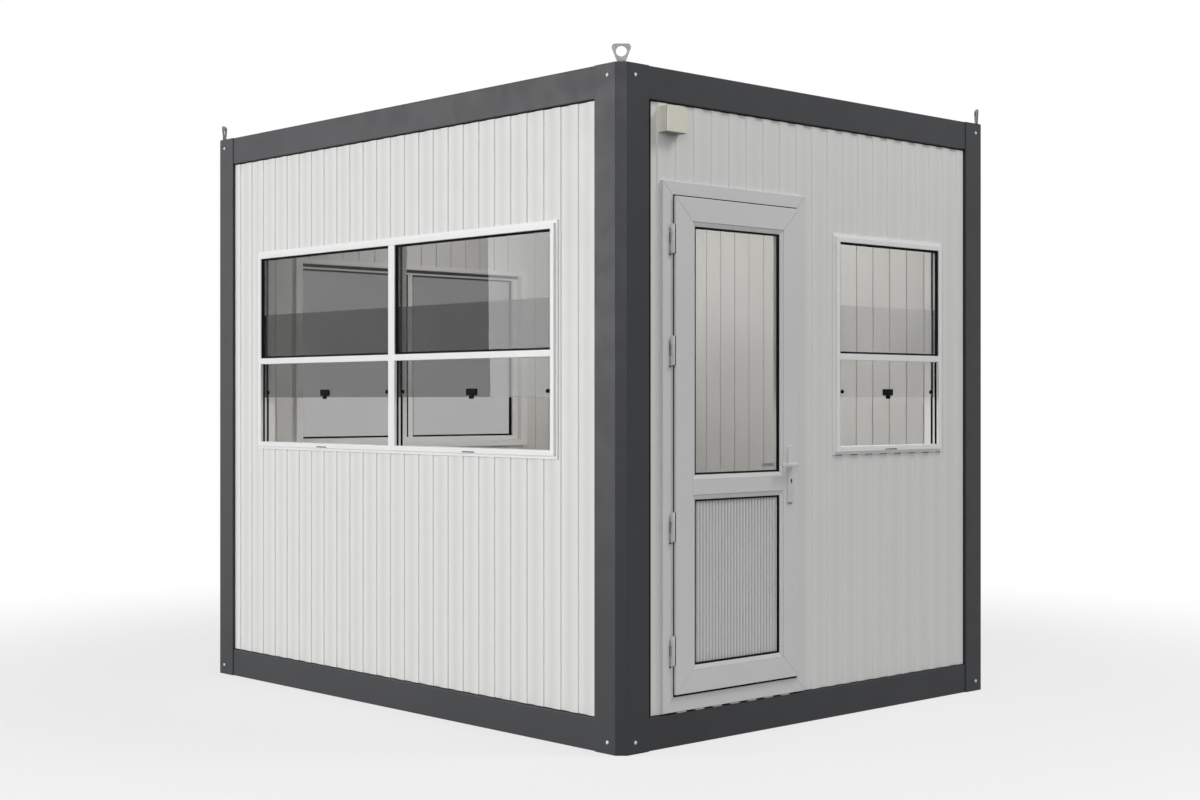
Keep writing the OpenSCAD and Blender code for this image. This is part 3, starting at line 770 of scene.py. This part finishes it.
def sash_window(prefix, wall, fixed, sliding, latch_node):
    """A window of fixed upper panes and raised sliding panes."""
    node = prefix + "_frame"
    u, d, z = wall.spans(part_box(node))
    transom = levels(node, 2)[2:4]
    bays = sorted(wall.spans(b) for b in solid_boxes(prefix + fixed))
    face = bays[0][0][0] - u[0]
    fixed_d = bays[0][1]
    sash_d = wall.spans(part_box(prefix + sliding))[1]
    opening_z = (z[0] + face, z[1] - face)

    pvc = Shape()
    window_frame(pvc, wall, u, d, z, face)
    for (left, _, _), (right, _, _) in zip(bays, bays[1:]):
        pvc.bar_z(wall, opening_z, rounded([
            (left[1], d[0]), (right[0], d[0]), (right[0], d[1], LIP_R), (left[1], d[1], LIP_R)
        ]))
    for bay_u, _, _ in bays:
        pvc.bar_u(wall, bay_u, rounded([
            (fixed_d[0], transom[0]), (d[1], transom[0], LIP_R), (d[1], transom[1], LIP_R),
            (fixed_d[0], transom[1])
        ]))
    pvc.piece(prefix + "_profiles", "white_pvc", stands_for=[node])

    black_piece = Shape()
    outer_track = (sash_d[1] + TRACK_GAP, fixed_d[1] + TRACK_LIP)
    for bay_u, _, bay_z in bays:
        pane_gasket(black_piece, wall, bay_u, (fixed_d[1], d[1] - GASKET_DROP), bay_z)
        for side, edge in zip((1, -1), bay_u):
            lip = sorted((edge, edge + side * TRACK_T))
            black_piece.bar_z(wall, (opening_z[0], transom[0]), rounded_box(lip, outer_track, TRACK_R))
            black_piece.bar_z(wall, opening_z, rounded_box(lip, offset(sash_d[0], ROOM_TRACK), TRACK_R))
    black_piece.black_piece(prefix + "_gaskets")

    slots = Shape()
    level = z[0] + face / 2 + SLOT_RISE
    for bay_u, _, _ in bays:
        middle = sum(bay_u) / 2
        slot = rounded_box(grown((middle, middle), SLOT_HALF), grown((level, level), SLOT_HALF_H), SLOT_R)
        slots.prism(slot, lambda x, y, t: wall.at(x, t, y), offset(d[1], SLOT_D))
    slots.black_piece(prefix + "_drain_slots")

    fittings = sash_fittings(wall, latch_node)
    fittings.piece(prefix + "_latch_set", "black_plastic", stands_for=[latch_node], smooth=True)
    trim_z = (z[0] - TRIM_BELOW, z[1] + TRIM_ABOVE)
    inner_trim(prefix + "_inner_trim", wall, grown(u, TRIM_OUT), trim_z, SASH_TRIM_WIDTHS)


sash_window("front_window", FRONT, "_fixed_panes", "_sliding_panes", "front_window_latches")
sash_window("side_window", DOOR_END, "_fixed_pane", "_sliding_pane", "side_window_latch")

# The two-pane window in the far end wall, whose first bay is nearer to the back
ROOM_SETBACK = 0.030
ROOM_LIP_T = 0.006
ROOM_LIP = (0.008, 0.009)
ROOM_LIP_WIDTHS = ((1, 0.2, 1, 1), (1, 1, 1, 1))
MULLION_LIP = 0.008
MULLION_LIP_D = (-0.0012, 0.001)
MULLION_LIP_R = 0.0005
HEAD_SHADE_Z = (0.009, 0.025)
HEAD_SHADE_D = (-0.004, 0.001)
HEAD_SHADE_SHORT = 0.001
LEFT_TRIM_OUT = 0.037
LEFT_TRIM_WIDTHS = (1, 1, 0.875, 0.65)
left_u, left_d, left_z = LEFT_END.spans(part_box("left_window_frame"))
left_bays = sorted(LEFT_END.spans(b) for b in solid_boxes("left_window_panes"))
left_face = left_bays[0][0][0] - left_u[0]
left_pane_d = left_bays[0][1]
mullion = (left_bays[0][0][1], left_bays[1][0][0])
room_d = left_d[0] + ROOM_SETBACK
lip_d = left_pane_d[0] - ROOM_LIP_T

left_frame = Shape()
window_frame(left_frame, LEFT_END, left_u, (room_d, left_d[1]), left_z, left_face)
left_frame.bar_z(LEFT_END, grown(left_z, -left_face), rounded([
    (mullion[0], lip_d, LIP_R), (mullion[1], lip_d, LIP_R), (mullion[1], left_d[1], LIP_R),
    (mullion[0], left_d[1], LIP_R)
]))
left_frame.piece("left_window_profiles", "white_pvc", stands_for=["left_window_frame"])

left_rubber_and_shade = Shape()
room_lip = [(0, left_pane_d[0]), (0, lip_d), (ROOM_LIP[0], lip_d), (ROOM_LIP[1], left_pane_d[0])]
for (bay_u, _, bay_z), widths in zip(left_bays, ROOM_LIP_WIDTHS):
    pane_gasket(left_rubber_and_shade, LEFT_END, bay_u, (left_pane_d[1], left_d[1] - GASKET_DROP), bay_z)
    left_rubber_and_shade.ring(LEFT_END, bay_u, bay_z, room_lip, widths)
left_rubber_and_shade.bar_z(LEFT_END, left_bays[1][2], rounded_box(
    (mullion[1] - MULLION_LIP, mullion[1]), offset(lip_d, MULLION_LIP_D), MULLION_LIP_R))
# A black strip across the head's room-side face paints the shade under the trim
left_rubber_and_shade.bar_u(LEFT_END, grown(left_u, -HEAD_SHADE_SHORT), rounded_box(
    offset(room_d, HEAD_SHADE_D), offset(left_z[1] - left_face, HEAD_SHADE_Z), SEAL_R))
left_rubber_and_shade.black_piece("left_window_gaskets_and_head_shade")
inner_trim("left_window_inner_trim", LEFT_END, (left_u[0] - LEFT_TRIM_OUT, left_u[1] + TRIM_OUT),
           (left_z[0] - TRIM_BELOW, left_z[1] + TRIM_ABOVE), LEFT_TRIM_WIDTHS)


# Door frame and leaf

MITRE_SEAM = 0.0009
FRAME_OUTER_R = 0.0015
FRAME_INNER_R = 0.002
LEAF_R = 0.003
BAY_R = 0.0015
LEAF_RAISED = 0.011
DOOR_SEAL_W = 0.007
DOOR_SEAL_FOOT = 0.001
DOOR_SEAL_CLEAR = 0.0012
DOOR_SEAL_SHADE_BELOW = 0.009
DOOR_SEAL_SHADE_ABOVE = 0.005
BEAD_IN = 0.0008
BEAD_SETBACK = 0.002
BEAD_DROP = 0.0015
BEAD_PROUD = 0.002
BEAD_R = 0.001
LEAF_GASKET = (0.0062, 0.0075)
GASKET_SINK = 0.0005
ROOM_GASKET_T = 0.004
ROOM_GASKET_LOCK_SIDE = 0.2
frame_face = levels("door_frame", 1)[1] - frame_u[0]
leaf_u, leaf_d, leaf_z = DOOR_END.spans(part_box("door_leaf"))
leaf_across = levels("door_leaf", 1)
leaf_up = levels("door_leaf", 2)
LAP_BACK = levels("door_leaf", 0)[-2] - HALF_L
LAP_IN = leaf_u[0] - frame_u[0]
BODY_IN = leaf_across[1] - leaf_across[0]
bay_u = (leaf_across[2], leaf_across[5])
lower_bay = (leaf_up[2], leaf_up[5])
upper_bay = (leaf_up[6], leaf_up[-3])
stile = bay_u[0] - leaf_u[0]
glass_u, glass_d, glass_z = DOOR_END.spans(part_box("door_glass"))
panel_u, panel_d, panel_z = DOOR_END.spans(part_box("door_lower_panel"))
BEAD = glass_u[0] - bay_u[0]

door_frame = Shape()
door_frame.ring(DOOR_END, frame_u, frame_z, rounded([
    (0, frame_d[0]), (0, frame_d[1], FRAME_OUTER_R), (frame_face, frame_d[1], FRAME_INNER_R),
    (frame_face, frame_d[0])
]), seam=MITRE_SEAM)
door_frame.piece("door_frame_profiles", "white_pvc", stands_for=["door_frame"], material="door_pvc")

# The seal's lower and upper members reach out past the leaf, so their black also paints the shade lines under and
# above the leaf
door_seal_and_shade = Shape()
seal_lip_d = LAP_BACK - DOOR_SEAL_CLEAR
seal_lower = 1 + (LEAF_RAISED - DOOR_SEAL_SHADE_BELOW) / LAP_IN
seal_upper = 1 - DOOR_SEAL_SHADE_ABOVE / LAP_IN
door_seal_and_shade.ring(DOOR_END, frame_u, frame_z, [
    (LAP_IN - DOOR_SEAL_FOOT, frame_d[1]), (LAP_IN, seal_lip_d), (LAP_IN + DOOR_SEAL_W, seal_lip_d),
    (LAP_IN + DOOR_SEAL_W + DOOR_SEAL_FOOT, frame_d[1])
], (1, 1, seal_lower, seal_upper))
door_seal_and_shade.black_piece("door_frame_seal_and_shade")

leaf = Shape()
leaf_face_z = (leaf_z[0] + LEAF_RAISED, leaf_z[1])
lower_scale = (lower_bay[0] - leaf_face_z[0]) / stile
leaf.ring(DOOR_END, leaf_u, leaf_face_z, rounded([
    (0, LAP_BACK), (0, leaf_d[1], LEAF_R), (stile, leaf_d[1], BAY_R), (stile, leaf_d[0]),
    (BODY_IN, leaf_d[0]), (BODY_IN, LAP_BACK)
]), (1, 1, lower_scale, 1), MITRE_SEAM)
leaf.bar_u(DOOR_END, grown(bay_u, -MITRE_SEAM), rounded([
    (leaf_d[0], lower_bay[1]), (leaf_d[1], lower_bay[1], BAY_R), (leaf_d[1], upper_bay[0], BAY_R),
    (leaf_d[0], upper_bay[0])
]))
bead_front = LAP_BACK + BEAD_PROUD
bead_back = leaf_d[0] + BEAD_SETBACK
for bay_z in (lower_bay, upper_bay):
    leaf.ring(DOOR_END, bay_u, bay_z, rounded([
        (BEAD_IN, bead_back), (BEAD_IN, leaf_d[1] - BEAD_DROP), (BEAD, bead_front, BEAD_R), (BEAD, bead_back)
    ]), seam=MITRE_SEAM)
leaf.piece("door_leaf_profiles", "white_pvc", "door", ["door_leaf"], material="door_pvc")

leaf_rubber = Shape()
for z, d in ((glass_z, glass_d), (panel_z, panel_d)):
    outside = (d[1], bead_front - GASKET_SINK, 1)
    inside = (d[0], d[0] - ROOM_GASKET_T, ROOM_GASKET_LOCK_SIDE)
    for back, lip, lock_side in (outside, inside):
        outline = [(0, back), (0, lip), (LEAF_GASKET[0], lip), (LEAF_GASKET[1], back)]
        leaf_rubber.ring(DOOR_END, glass_u, z, outline, (1, lock_side, 1, 1))
leaf_rubber.black_piece("door_glazing_gaskets", "door")

# The slatted lower panel, one slat as (share of its width, share of its depth), with painted shade: the grooves
# take a darker PVC
SLAT_COUNT = 28
SLAT_DEPTH = 0.008
SLAT = [(0.0, -0.35), (0.12, -0.9), (0.22, -1.0), (0.32, -0.9), (0.44, -0.35), (0.56, -0.06), (0.72, 0.0),
        (0.88, -0.06)]
GROOVE_SHADE = (-1.1, -0.5)
slat_w = (panel_u[1] - panel_u[0]) / SLAT_COUNT
slat_front = [(panel_u[0] + (k + t) * slat_w, panel_d[1] + SLAT_DEPTH * depth)
              for k in range(SLAT_COUNT) for t, depth in SLAT]
slat_front.append((panel_u[1], panel_d[1] + SLAT_DEPTH * SLAT[0][1]))
lower_panel = Shape()
lower_panel.bar_z(DOOR_END, panel_z, slat_front + [(panel_u[1], panel_d[0]), (panel_u[0], panel_d[0])])
# Faces deep in the grooves get the darker PVC, as painted shade
for face in lower_panel.bm.faces:
    depth = (face.calc_center_median() - DOOR_END.origin).dot(DOOR_END.out) - panel_d[1]
    face.material_index = int(GROOVE_SHADE[0] * SLAT_DEPTH < depth < GROOVE_SHADE[1] * SLAT_DEPTH)
slats = lower_panel.piece("door_slatted_panel", "white_pvc", "door", ["door_lower_panel"],
                          material="door_pvc")
slats.data.materials.append(MATERIAL["groove_shade_pvc"])


# Hinges

HINGE_R = 0.0068
ROUND_END = [(0.55 * HINGE_R, 0), (0.85 * HINGE_R, 0.001), (HINGE_R, 0.003)]
FLAT_END = [(0.93 * HINGE_R, 0), (HINGE_R, 0.0006)]
KNUCKLE_GAP = 0.0006
PAD_T = 0.0012
PAD_U = (-0.018, -0.001)
PAD_R = 0.0008
ARM_U = (-0.007, -0.001)
ARM_R = 0.0006
# Black strips and dots on the frame and the leaf beside and below each barrel paint the hinges' shadow lines
STRIP_U = (-0.0102, -0.0080)
STRIP_T = 0.0022
STRIP_SHORT = (0.001, 0.015)
DOT_U = (-0.0110, -0.0045)
DOT_T = 0.0030
DOT_Z = (-0.008, -0.002)
SMALL_R = 0.0004
LINK_D = (0.002, 0.006)
LINK_FROM = 0.002
LINK_LAP = 0.0005
LEAF_STRIP_U = (-0.0008, 0.0010)
LEAF_STRIP_RISE = 0.0065
LEAF_STRIP_DROP = 0.0012
LEAF_STRIP_R = 0.0003
pin = Vector(JOINT["door_swing"]["pos_m"])
pin_u = (pin - DOOR_END.origin).dot(DOOR_END.right)
pin_d = (pin - DOOR_END.origin).dot(DOOR_END.out)


def knuckle(shape, z, low_end, high_end):
    """A barrel around the hinge pin, whose ends hold (radius, distance from the end)."""
    length = z[1] - z[0]
    profile = low_end + [(r, length - h) for r, h in reversed(high_end)]
    shape.lathe(Vector((pin.x, pin.y, z[0])), UP, profile, 32)


def heights(node):
    """The (from, to) of each solid of a CAD node along z, from below."""
    return sorted((b[0].z, b[1].z) for b in solid_boxes(node))


hinge_frame = Shape()
hinge_leaf = Shape()
hinge_shadow_strips = Shape()
leaf_shadow_strips = Shape()
face_d = frame_d[1]
for leaf_half, whole in zip(heights("door_hinge_leaf_halves"), heights("door_hinge_frame_halves")):
    lower = (whole[0], leaf_half[0] - KNUCKLE_GAP)
    upper = (leaf_half[1] + KNUCKLE_GAP, whole[1])
    knuckle(hinge_frame, lower, ROUND_END, FLAT_END)
    knuckle(hinge_frame, upper, FLAT_END, ROUND_END)
    knuckle(hinge_leaf, leaf_half, FLAT_END, FLAT_END)
    for z in (lower, upper):
        hinge_frame.block(DOOR_END, offset(pin_u, PAD_U), (face_d, face_d + PAD_T), z, PAD_R)
        hinge_frame.block(DOOR_END, offset(pin_u, ARM_U), (face_d + PAD_T, pin_d), z, ARM_R)
    # Painted shadow: a black strip left of the barrel, a black dot below it, and a black strip on the leaf right
    # of it
    strip_z = (whole[0] + STRIP_SHORT[0], whole[1] - STRIP_SHORT[1])
    hinge_shadow_strips.block(DOOR_END, offset(pin_u, STRIP_U), (face_d, face_d + STRIP_T), strip_z, SMALL_R)
    dot_z = offset(whole[0], DOT_Z)
    hinge_shadow_strips.block(DOOR_END, offset(pin_u, DOT_U), (face_d, face_d + DOT_T), dot_z, SMALL_R)
    link_u = (pin_u + LINK_FROM, leaf_u[0] + LINK_LAP)
    hinge_leaf.block(DOOR_END, link_u, offset(LAP_BACK, LINK_D), leaf_half, SMALL_R)
    leaf_strip_d = (LAP_BACK + LEAF_STRIP_RISE, leaf_d[1] - LEAF_STRIP_DROP)
    leaf_shadow_strips.block(DOOR_END, offset(leaf_u[0], LEAF_STRIP_U), leaf_strip_d, whole, LEAF_STRIP_R)
hinge_shadow_strips.black_piece("hinge_painted_shadow_strips")
leaf_shadow_strips.black_piece("hinge_leaf_painted_shadow_strips", "door")
hinge_frame.piece("hinge_frame_leaves", "handle_paint", stands_for=["door_hinge_frame_halves"], smooth=True)
hinge_leaf.piece("hinge_door_leaves", "handle_paint", "door", ["door_hinge_leaf_halves"], smooth=True)


# Handles

PLATE_R = 0.010
PLATE_EDGE = 0.003
KEYHOLE_DROP = 0.063
KEYHOLE = [(0.0050, 0), (0.0050, 0.0012), (0.0046, 0.0014)]
KEYHOLE_D = (-0.001, 0.0003)
KEYWAY_HALF = 0.0028
KEYWAY_Z = (-0.013, -0.002)
SHADOW_IN = 0.006
SHADOW_T = 0.004
SHADOW_Z = (-0.0025, 0.0005)
NECK_R = 0.009
NECK_END = [(1, 0.004), (0.85, 0.0012), (0.5, 0)]
NECK_SINK = 0.001
SPINDLE_R = 0.005
SPINDLE_OVER = 0.002
LEVER_HALF_D = 0.007
LEVER_EDGE_R = 0.005
LEVER_CLEAR = 0.0005
LEVER_TAPER = [(0.0, 1.0), (0.25, 0.96), (0.6, 0.86), (0.85, 0.84), (0.95, 0.78), (0.985, 0.6), (1.0, 0.35)]
spindle = Vector(JOINT["lever_turn"]["pos_m"])
plate_spans = [DOOR_END.spans(b) for b in solid_boxes("door_handle_plates")]
plates = Shape()
for u, d, z in plate_spans:
    outline = rounded_box(u, z, PLATE_R, 6)
    if d[0] > 0:
        plates.plate(DOOR_END, outline, d, PLATE_EDGE)
    else:
        plates.plate(DOOR_END, outline, d[::-1], -PLATE_EDGE)
plates.piece("handle_plates", "handle_paint", "door", ["door_handle_plates"], smooth=True)

# The keyhole, and a black strip under the outer plate that paints the plate's shadow line
keyhole_and_plate_shadow = Shape()
outer_u, outer_d, outer_z = max(plate_spans, key=lambda s: s[1][1])
keyhole_z = spindle.z - KEYHOLE_DROP
keyhole_d = offset(outer_d[1], KEYHOLE_D)
keyhole_and_plate_shadow.lathe(DOOR_END.at(spindle.y, keyhole_d[0], keyhole_z), DOOR_END.out, KEYHOLE, 24)
keyway_u = grown((spindle.y, spindle.y), KEYWAY_HALF)
keyhole_and_plate_shadow.block(DOOR_END, keyway_u, keyhole_d, offset(keyhole_z, KEYWAY_Z), SMALL_R)
keyhole_and_plate_shadow.block(DOOR_END, grown(outer_u, -SHADOW_IN), (leaf_d[1], leaf_d[1] + SHADOW_T),
              offset(outer_z[0], SHADOW_Z), SMALL_R)
keyhole_and_plate_shadow.piece("keyhole_and_plate_shadow", "black_plastic", "door")

lever_u, lever_d, lever_z = DOOR_END.spans(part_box("door_lever"))
lever_length = spindle.y - lever_u[0]
lever_half_z = (lever_z[1] - lever_z[0]) / 2 - LEVER_CLEAR
lever = Shape()
for side, tip in ((1, lever_d[1]), (-1, lever_d[0])):
    start = leaf_d[1] + NECK_SINK if side > 0 else leaf_d[0] - NECK_SINK
    reach = abs(tip - start)
    neck = [(NECK_R, 0)] + [(across * NECK_R, reach - drop) for across, drop in NECK_END]
    lever.lathe(DOOR_END.at(spindle.y, start, spindle.z), DOOR_END.out * side, neck, 32)
    middle = tip - side * LEVER_HALF_D
    loops = []
    for share, scale in LEVER_TAPER:
        half_d = LEVER_HALF_D * scale
        half_z = lever_half_z * scale
        section = rounded_box((-half_d, half_d), (-half_z, half_z), LEVER_EDGE_R * scale)
        u = spindle.y - share * lever_length
        loops.append([DOOR_END.at(u, middle + p.x, spindle.z + p.y) for p in section])
    lever.loft(loops)
spindle_length = leaf_d[1] - leaf_d[0] + 2 * SPINDLE_OVER
lever.lathe(DOOR_END.at(spindle.y, leaf_d[0] - SPINDLE_OVER, spindle.z), DOOR_END.out,
            [(SPINDLE_R, 0), (SPINDLE_R, spindle_length)], 16)
lever.piece("lever_handles", "handle_paint", "lever", ["door_lever"], smooth=True)


# Junction box

BOX_R = 0.002
LID_T = 0.008
LID_GAP = 0.0006
LID_SCREW = [(0.0035, 0), (0.0035, 0.0013), (0.0028, 0.0016)]
LID_SCREW_IN = 0.010
LID_SCREW_SINK = 0.001
LID_EDGE_U = (-0.0003, 0.0052)
LID_EDGE_D = (-0.002, 0.0004)
LID_EDGE_SHORT = 0.0025
GLAND_IN = 0.003
GLAND_SETBACK = 0.004
GLAND_Z = (-0.0015, 0.004)
GLAND_R = 0.0006
box_u, box_d, box_z = DOOR_END.spans(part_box("junction_box"))
junction = Shape()
junction.block(DOOR_END, box_u, (box_d[0], box_d[1] - LID_T - LID_GAP), box_z, BOX_R)
# The shell takes the lighter cream, painted light on its shaded sides
junction.piece("junction_box_shell", "cream_plastic", stands_for=["junction_box"], material="cream_shell_painted_light")
lid = Shape()
lid.block(DOOR_END, box_u, (box_d[1] - LID_T, box_d[1]), box_z, BOX_R)
for u in grown(box_u, -LID_SCREW_IN):
    for z in grown(box_z, -LID_SCREW_IN):
        lid.lathe(DOOR_END.at(u, box_d[1] - LID_SCREW_SINK, z), DOOR_END.out, LID_SCREW, 16)
lid.piece("junction_box_lid", "cream_plastic")
# A near-white strip along the lid's front edge, which is a painted highlight
lid_edge = Shape()
lid_edge.block(DOOR_END, offset(box_u[0], LID_EDGE_U), offset(box_d[1], LID_EDGE_D),
               grown(box_z, -LID_EDGE_SHORT), SMALL_R)
lid_edge.piece("junction_box_lid_painted_highlight", "cream_plastic", material="lid_edge_painted_highlight")
# A dark steel gland plate at the box's foot, whose dark colour also paints the shade under the box
gland = Shape()
gland.block(DOOR_END, grown(box_u, -GLAND_IN), (box_d[0], box_d[1] - GLAND_SETBACK),
            offset(box_z[0], GLAND_Z), GLAND_R)
gland.piece("junction_box_gland_plate_and_underside_shade", "base_steel")


# CAD nodes that stay as they are, with their materials

KEPT = {
    "lifting_eyes": "eye_zinc",
    "floor_cassette": "base_steel",
    "floor_board": "floor_covering",
    "ceiling_cassette": "panel_paint",
    "front_window_fixed_panes": "window_glass",
    "front_window_sliding_panes": "window_glass",
    "side_window_fixed_pane": "clear_glass",
    "side_window_sliding_pane": "clear_glass",
    "left_window_panes": "window_glass",
    "door_glass": "clear_glass",
}
for node, material in KEPT.items():
    data = frame["nodes"][node].data
    data.materials.clear()
    data.materials.append(MATERIAL[material])


# Floor and world

FLOOR_HALF = 15
FLOOR_FADE = (2.2, 5.5)
FLOOR_WHITE = 0.7
SKY = (0.0, 0.36)


def rays_seen(tree):
    """1 for rays of the camera, of a mirroring surface or through glass, and 0 for the light's own rays."""
    rays = tree.nodes.new("ShaderNodeLightPath")
    seen = rays.outputs["Is Camera Ray"]
    for kind in ("Is Glossy Ray", "Is Transmission Ray"):
        either = tree.nodes.new("ShaderNodeMath")
        either.operation = "MAXIMUM"
        tree.links.new(seen, either.inputs[0])
        tree.links.new(rays.outputs[kind], either.inputs[1])
        seen = either.outputs["Value"]
    return seen


floor_mesh = bpy.data.meshes.new("floor")
floor_corners = [(FLOOR_HALF * x, FLOOR_HALF * y, 0) for x, y in ((-1, -1), (1, -1), (1, 1), (-1, 1))]
floor_mesh.from_pydata(floor_corners, [], [(0, 1, 2, 3)])
floor = bpy.data.objects.new("floor", floor_mesh)
bpy.context.scene.collection.objects.link(floor)
floor_material, tree, bsdf, coords = shader("studio_floor")
bsdf.inputs["Base Color"].default_value = (0.68, 0.68, 0.68, 1)
bsdf.inputs["Roughness"].default_value = 0.9
bsdf.inputs["Specular IOR Level"].default_value = 0.0
reach = tree.nodes.new("ShaderNodeVectorMath")
reach.operation = "LENGTH"
tree.links.new(coords, reach.inputs[0])
fade = mapped(tree, reach.outputs["Value"], FLOOR_FADE, steps="SMOOTHSTEP")
share = maths(tree, "MULTIPLY", rays_seen(tree), FLOOR_WHITE)
white = tree.nodes.new("ShaderNodeEmission")
pale = mixed(tree, share, bsdf.outputs["BSDF"], white.outputs["Emission"])
clear = tree.nodes.new("ShaderNodeBsdfTransparent")
fading = mixed(tree, fade, pale, clear.outputs["BSDF"])
tree.links.new(fading, tree.nodes["Material Output"].inputs["Surface"])
floor_mesh.materials.append(floor_material)

world = bpy.data.worlds.new("studio")
bpy.context.scene.world = world
world.use_nodes = True
tree = world.node_tree
tree.nodes.clear()
direction = tree.nodes.new("ShaderNodeTexCoord")
split = tree.nodes.new("ShaderNodeSeparateXYZ")
tree.links.new(direction.outputs["Generated"], split.inputs["Vector"])
lighting = tree.nodes.new("ShaderNodeBackground")
tree.links.new(mapped(tree, split.outputs["Z"], (-1.0, 1.0), SKY), lighting.inputs["Strength"])
backdrop = tree.nodes.new("ShaderNodeBackground")
for background in (lighting, backdrop):
    background.inputs["Color"].default_value = (1, 1, 1, 1)
choice = mixed(tree, rays_seen(tree), lighting.outputs["Background"], backdrop.outputs["Background"])
out = tree.nodes.new("ShaderNodeOutputWorld")
tree.links.new(choice, out.inputs["Surface"])


# Lamps and camera

# Name, place, watts, side, target, shown in gloss, lights matt surfaces
AREA_LAMPS = [
    ("softbox", (-7.27, -11.57, 3.6), 1050, 6.4, (0, 0, 3.2), True, True),
    ("fill", (7.0, -7.0, 5.0), 215, 5.0, (0.8, -0.6, 1.4), True, True),
    ("edge_sheen", (6.9, -6.6, 3.6), 150, 4.5, (1.42, -1.15, 1.8), True, False),
    ("rail_sheen", (6.5, 6.2, 7.2), 120, 3.6, (1.42, 0, 2.3), True, False),
    ("door_side_top", (4.6, 2.2, 6.9), 196, 2.1, (1.4, 0, 1.2), False, True),
]
ROOM_COLOUR = (1, 0.98, 0.955)
ROOM_WATTS = 13.5
ROOM_LAMP_R = 0.15
ROOM_LAMPS = {"room_left": (-0.6, 0.1, 2.2), "room_right": (0.7, 0.1, 2.2)}
CAMERA_AT = (6.2269, -5.7426, 1.3220)
CAMERA_TURN = 46.974
SENSOR_W = 36.0
LENS = 53.844


def lamp(name, kind, place, watts, gloss, matt):
    """A soft lamp that isn't seen itself, or only where a surface mirrors it."""
    data = bpy.data.lights.new(name, kind)
    data.energy = watts
    obj = bpy.data.objects.new(name, data)
    obj.location = place
    obj.visible_camera = False
    obj.visible_glossy = gloss
    obj.visible_diffuse = matt
    obj.visible_transmission = False
    bpy.context.scene.collection.objects.link(obj)
    return obj


for name, place, watts, side, target, gloss, matt in AREA_LAMPS:
    area = lamp(name, "AREA", place, watts, gloss, matt)
    area.data.size = side
    area.rotation_euler = (Vector(target) - Vector(place)).to_track_quat("-Z", "Y").to_euler()
for name, place in ROOM_LAMPS.items():
    bulb = lamp(name, "POINT", place, ROOM_WATTS, False, True)
    bulb.data.shadow_soft_size = ROOM_LAMP_R
    bulb.data.color = ROOM_COLOUR

camera = bpy.data.objects.new("camera", bpy.data.cameras.new("camera"))
camera.data.sensor_width = SENSOR_W
camera.data.sensor_fit = "HORIZONTAL"
camera.data.lens = LENS
camera.location = CAMERA_AT
camera.rotation_euler = (math.radians(90), 0, math.radians(CAMERA_TURN))
bpy.context.scene.collection.objects.link(camera)
bpy.context.scene.camera = camera
bpy.context.scene.view_settings.view_transform = "Standard"
